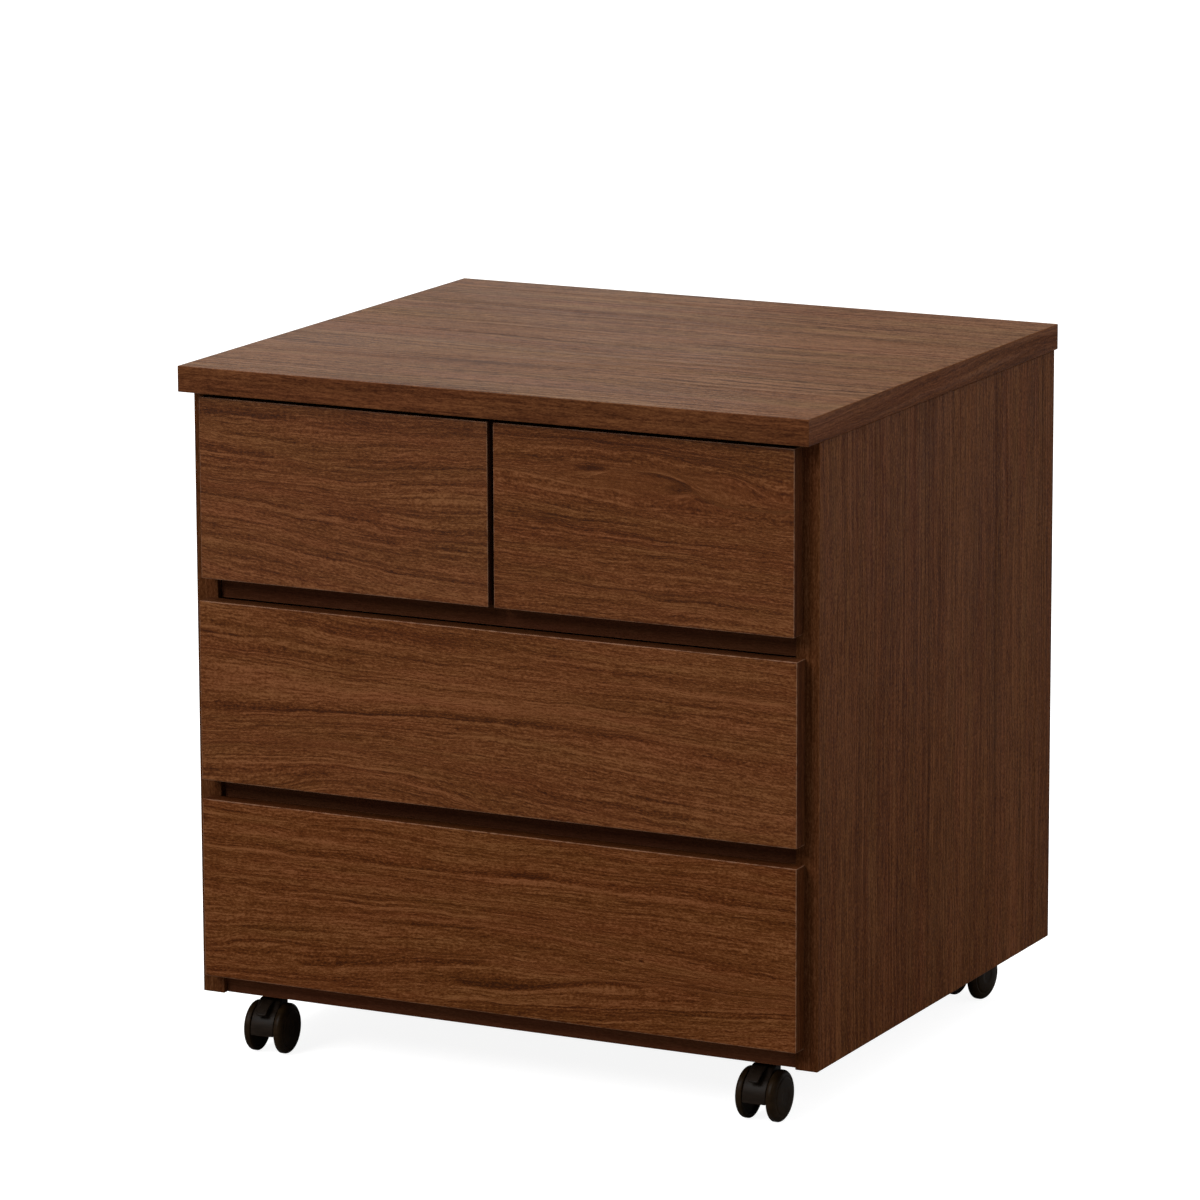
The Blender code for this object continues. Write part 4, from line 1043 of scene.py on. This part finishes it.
axleLook = {"radius": 0.0020, "chamfer": 0.0004, "endGap": 0.0002, "segments": 32}


def axleMesh(halfLength):
    radius, chamfer = axleLook["radius"], axleLook["chamfer"]
    profile = roundCorners([(-halfLength, 0, 0), (-halfLength, radius, chamfer),
                            (halfLength, radius, chamfer), (halfLength, 0, 0)])
    return makeMesh("axle", *latheSurface(profile, axleLook["segments"]))


def addCasters():
    wheel, stem = wheelMesh(), stemMesh()
    hoods = {"front": hoodMesh(True), "rear": hoodMesh(False)}
    spins = {joint["child"]: joint for joint in frame["joints"] if joint["name"].endswith("_spin")}
    for corner in ("front_left", "front_right", "rear_left", "rear_right"):
        name = "caster_" + corner
        low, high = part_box(name + "_stem")
        axis = Vector(spins[name + "_wheel_left"]["axis"])
        heading = np.arctan2(axis.y, axis.x)
        place = Matrix.Translation(((low.x + high.x) / 2, (low.y + high.y) / 2, 0))
        swivelled = place @ Matrix.Rotation(heading, 4, "Z")
        axle = swivelled @ Matrix.Translation((0, -hoodLook["trail"], hoodLook["axleHeight"]))
        pinLow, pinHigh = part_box(name + "_axle")
        halfLength = (pinHigh.x - pinLow.x) / 2 / np.cos(heading) - axleLook["endGap"]
        pieces = [("hood", hoods[corner.split("_")[0]], swivelled, hoodPlastic, name),
                  ("axle", axleMesh(halfLength), axle, platedSteel, name),
                  ("stem", stem, place, platedSteel, "chest")]
        pieces += [(f"wheel_{side}", wheel, axle @ Matrix.Rotation(turn, 4, "Z"), wheelPlastic,
                    f"{name}_wheel_{side}") for side, turn in (("left", np.pi), ("right", 0))]
        for part, source, matrix, material, body in pieces:
            mesh = source.copy()
            mesh.name = f"{corner}_{part}"
            mesh.transform(matrix)
            slot = "plated_steel" if material is platedSteel else "black_plastic"
            addPiece(mesh.name, mesh, material, body, slot, f"{name}_{part}")
    print("casters built")


addCasters()


screwLook = {"radius": 0.0035, "standOut": 0.00012, "coneDepth": 0.0022, "slotWidth": 0.00055,
             "slotReach": 0.0021, "slotDepth": 0.0009, "sideBlur": 0.00012, "endBlur": 0.00015,
             "segments": 32}


def screwSurface():
    # A countersunk head along X: the crown is flat, and a cross recess sinks where the lesser
    # of |y| and |z| is below the slot's half width and the greater is below its reach.
    look = screwLook
    radius = look["radius"] * np.concatenate([np.linspace(0, 1, 15), [1.0, 0.55, 0.0]])
    turn = fullTurn(look["segments"])
    y, z = radius[:, None] * np.cos(turn), radius[:, None] * np.sin(turn)
    lesser, greater = np.minimum(abs(y), abs(z)), np.maximum(abs(y), abs(z))
    inSlot = 1 / (1 + np.exp((lesser - look["slotWidth"]) / look["sideBlur"]))
    inReach = 1 / (1 + np.exp((greater - look["slotReach"]) / look["endBlur"]))
    x = look["standOut"] - look["slotDepth"] * inSlot * inReach
    x[-3:] = np.array([0.0, -look["coneDepth"], -look["coneDepth"]])[:, None]
    return sweptSurface(x, y, z)


screwPlaces = {"runnerEnds": 0.035, "railEnds": 0.060, "boxBackRise": 0.022,
               "bays": {"runner_top_left": -0.13, "runner_top_right": 0.13}}


def headRow(node, direction, along, inset, count):
    # heads on the face of a node that looks along direction, evenly spread along another axis
    low, high = np.array(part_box(node))
    places = np.tile((low + high) / 2, (count, 1))
    axis = np.argmax(np.abs(direction))
    places[:, axis] = (high if direction[axis] > 0 else low)[axis]
    places[:, along] = np.linspace(low[along] + inset, high[along] - inset, count)
    return [(place, direction) for place in places]


def runnerHeads():
    # three screws through each runner strip, their heads on the face away from the wall
    heads = []
    for node in sorted(frame["nodes"]):
        if node.startswith("runner_"):
            low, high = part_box(node)
            bay = sum(x for start, x in screwPlaces["bays"].items() if node.startswith(start))
            inward = 1 if bay > (low.x + high.x) / 2 else -1
            heads += headRow(node, (inward, 0, 0), 1, screwPlaces["runnerEnds"], 3)
    return heads


def railHeads():
    # screws up through the top rails into the top board
    return [head for node in ("top_rail_front", "top_rail_rear")
            for head in headRow(node, (0, 0, -1), 0, screwPlaces["railEnds"], 4)]


def boxHeads(drawer):
    # two screws through each box side into the end of the box back
    heads = []
    for side, outward in (("left", -1), ("right", 1)):
        low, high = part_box(f"{drawer}_side_{side}")
        face = low.x if outward < 0 else high.x
        row = headRow(drawer + "_back", (outward, 0, 0), 2, screwPlaces["boxBackRise"], 2)
        heads += [((face, *place[1:]), direction) for place, direction in row]
    return heads


def addScrews(name, body, heads):
    # all the screws of one body are one piece; each screw's own +X looks along its direction
    points, faces = screwSurface()
    placed = []
    for place, direction in heads:
        turn = Vector(direction).to_track_quat("X", "Z").to_matrix().to_4x4()
        matrix = np.array(Matrix.Translation(place) @ turn)
        placed.append(points @ matrix[:3, :3].T + matrix[:3, 3])
    faces = np.concatenate([faces + number * len(points) for number in range(len(heads))])
    mesh = makeMesh(name, np.concatenate(placed), faces)
    addPiece(name, mesh, platedSteel, body, "plated_steel")


addScrews("runner_screws", "chest", runnerHeads())
addScrews("rail_screws", "chest", railHeads())
for drawer in ("drawer_top_left", "drawer_top_right", "drawer_middle", "drawer_lower"):
    addScrews(drawer + "_screws", drawer, boxHeads(drawer))
print("fasteners added")


studio = {
    "floorSize": 60.0, "floorColour": (0.30, 0.30, 0.30), "floorGlow": 0.90,
    "roomLight": 0.30, "backdrop": 1.0,
    "overhead": {"strength": 3.9, "softness": 70},
    "lamps": (
        # name, place, aims at, size, power
        ("key", (-1.73, -3.71, 3.17), (0.0, 0.0, 0.3), 2.2, 210.0),
        ("fill", (2.40, -0.20, 1.75), (0.0, 0.0, 0.3), 1.6, 24.0),
        ("sheen", (-0.92, 1.30, 0.86), (0.0, 0.0, 0.62), 0.8, 0.95),
        ("sideSheen", (0.92, 1.13, 0.35), (0.3, -0.1, 0.5), 0.5, 1.6),
    ),
}


def seenDirectly(tree, seen, lit):
    # one value where the camera looks straight at a surface, another where it only lights
    isCamera = wires(tree.nodes.new("ShaderNodeLightPath"))["Is Camera Ray"]
    return calc("MULTIPLY_ADD", isCamera, seen - lit, lit)


def addFloor():
    # a light table: the floor is lit, and glows a little besides, so its shadows stay faint
    half = studio["floorSize"] / 2
    mesh = bpy.data.meshes.new("floor")
    corners = [(-half, -half, 0), (half, -half, 0), (half, half, 0), (-half, half, 0)]
    mesh.from_pydata(corners, [], [(0, 1, 2, 3)])
    material, place = startMaterial("paleFloor", {
        "Base Color": studio["floorColour"], "Specular IOR Level": 0.1,
        "Emission Color": (1, 1, 1)})
    cloud = noise(place["Object"], (2, 2, 2))
    glow = seenDirectly(material.node_tree, studio["floorGlow"], 0.0)
    mesh.materials.append(feedShader(material, {
        "Roughness": remap(cloud, 0.3, 0.7, 0.75, 0.85), "Emission Strength": glow}))
    floor = addObject("floor", mesh)


def addLights():
    sun = bpy.data.lights.new("overhead", "SUN")
    sun.energy = studio["overhead"]["strength"]
    sun.angle = np.radians(studio["overhead"]["softness"])
    addObject("overhead", sun)
    for name, place, target, size, power in studio["lamps"]:
        light = bpy.data.lights.new(name, "AREA")
        light.shape, light.size, light.energy = "SQUARE", size, power
        lamp = addObject(name, light)
        lamp.location = place
        lamp.rotation_euler = (Vector(target) - Vector(place)).to_track_quat("-Z", "Y").to_euler()
        lamp.visible_camera = False
    world = bpy.data.worlds.new("studio")
    world.use_nodes = True
    background = world.node_tree.nodes["Background"].inputs
    setSocket(background["Color"], (1, 1, 1))
    strength = seenDirectly(world.node_tree, studio["backdrop"], studio["roomLight"])
    world.node_tree.links.new(strength.socket, background["Strength"])
    bpy.context.scene.world = world


cameraView = {"lens": 194.61, "sensor": 36.0, "place": (2.5092, -5.0202, 1.5760),
              "downward": 11.958, "sideways": 26.792, "roll": -0.21, "reach": 200}


def addCamera():
    view = cameraView
    lens = bpy.data.cameras.new("camera")
    lens.lens, lens.sensor_width, lens.clip_end = view["lens"], view["sensor"], view["reach"]
    camera = addObject("camera", lens)
    camera.location = view["place"]
    pan = Euler((np.radians(90 - view["downward"]), 0, np.radians(view["sideways"]))).to_matrix()
    camera.rotation_euler = (pan @ Matrix.Rotation(np.radians(view["roll"]), 3, "Z")).to_euler()
    bpy.context.scene.camera = camera


addFloor()
addLights()
addCamera()
bpy.context.scene.view_settings.view_transform = "Standard"
print("studio ready")
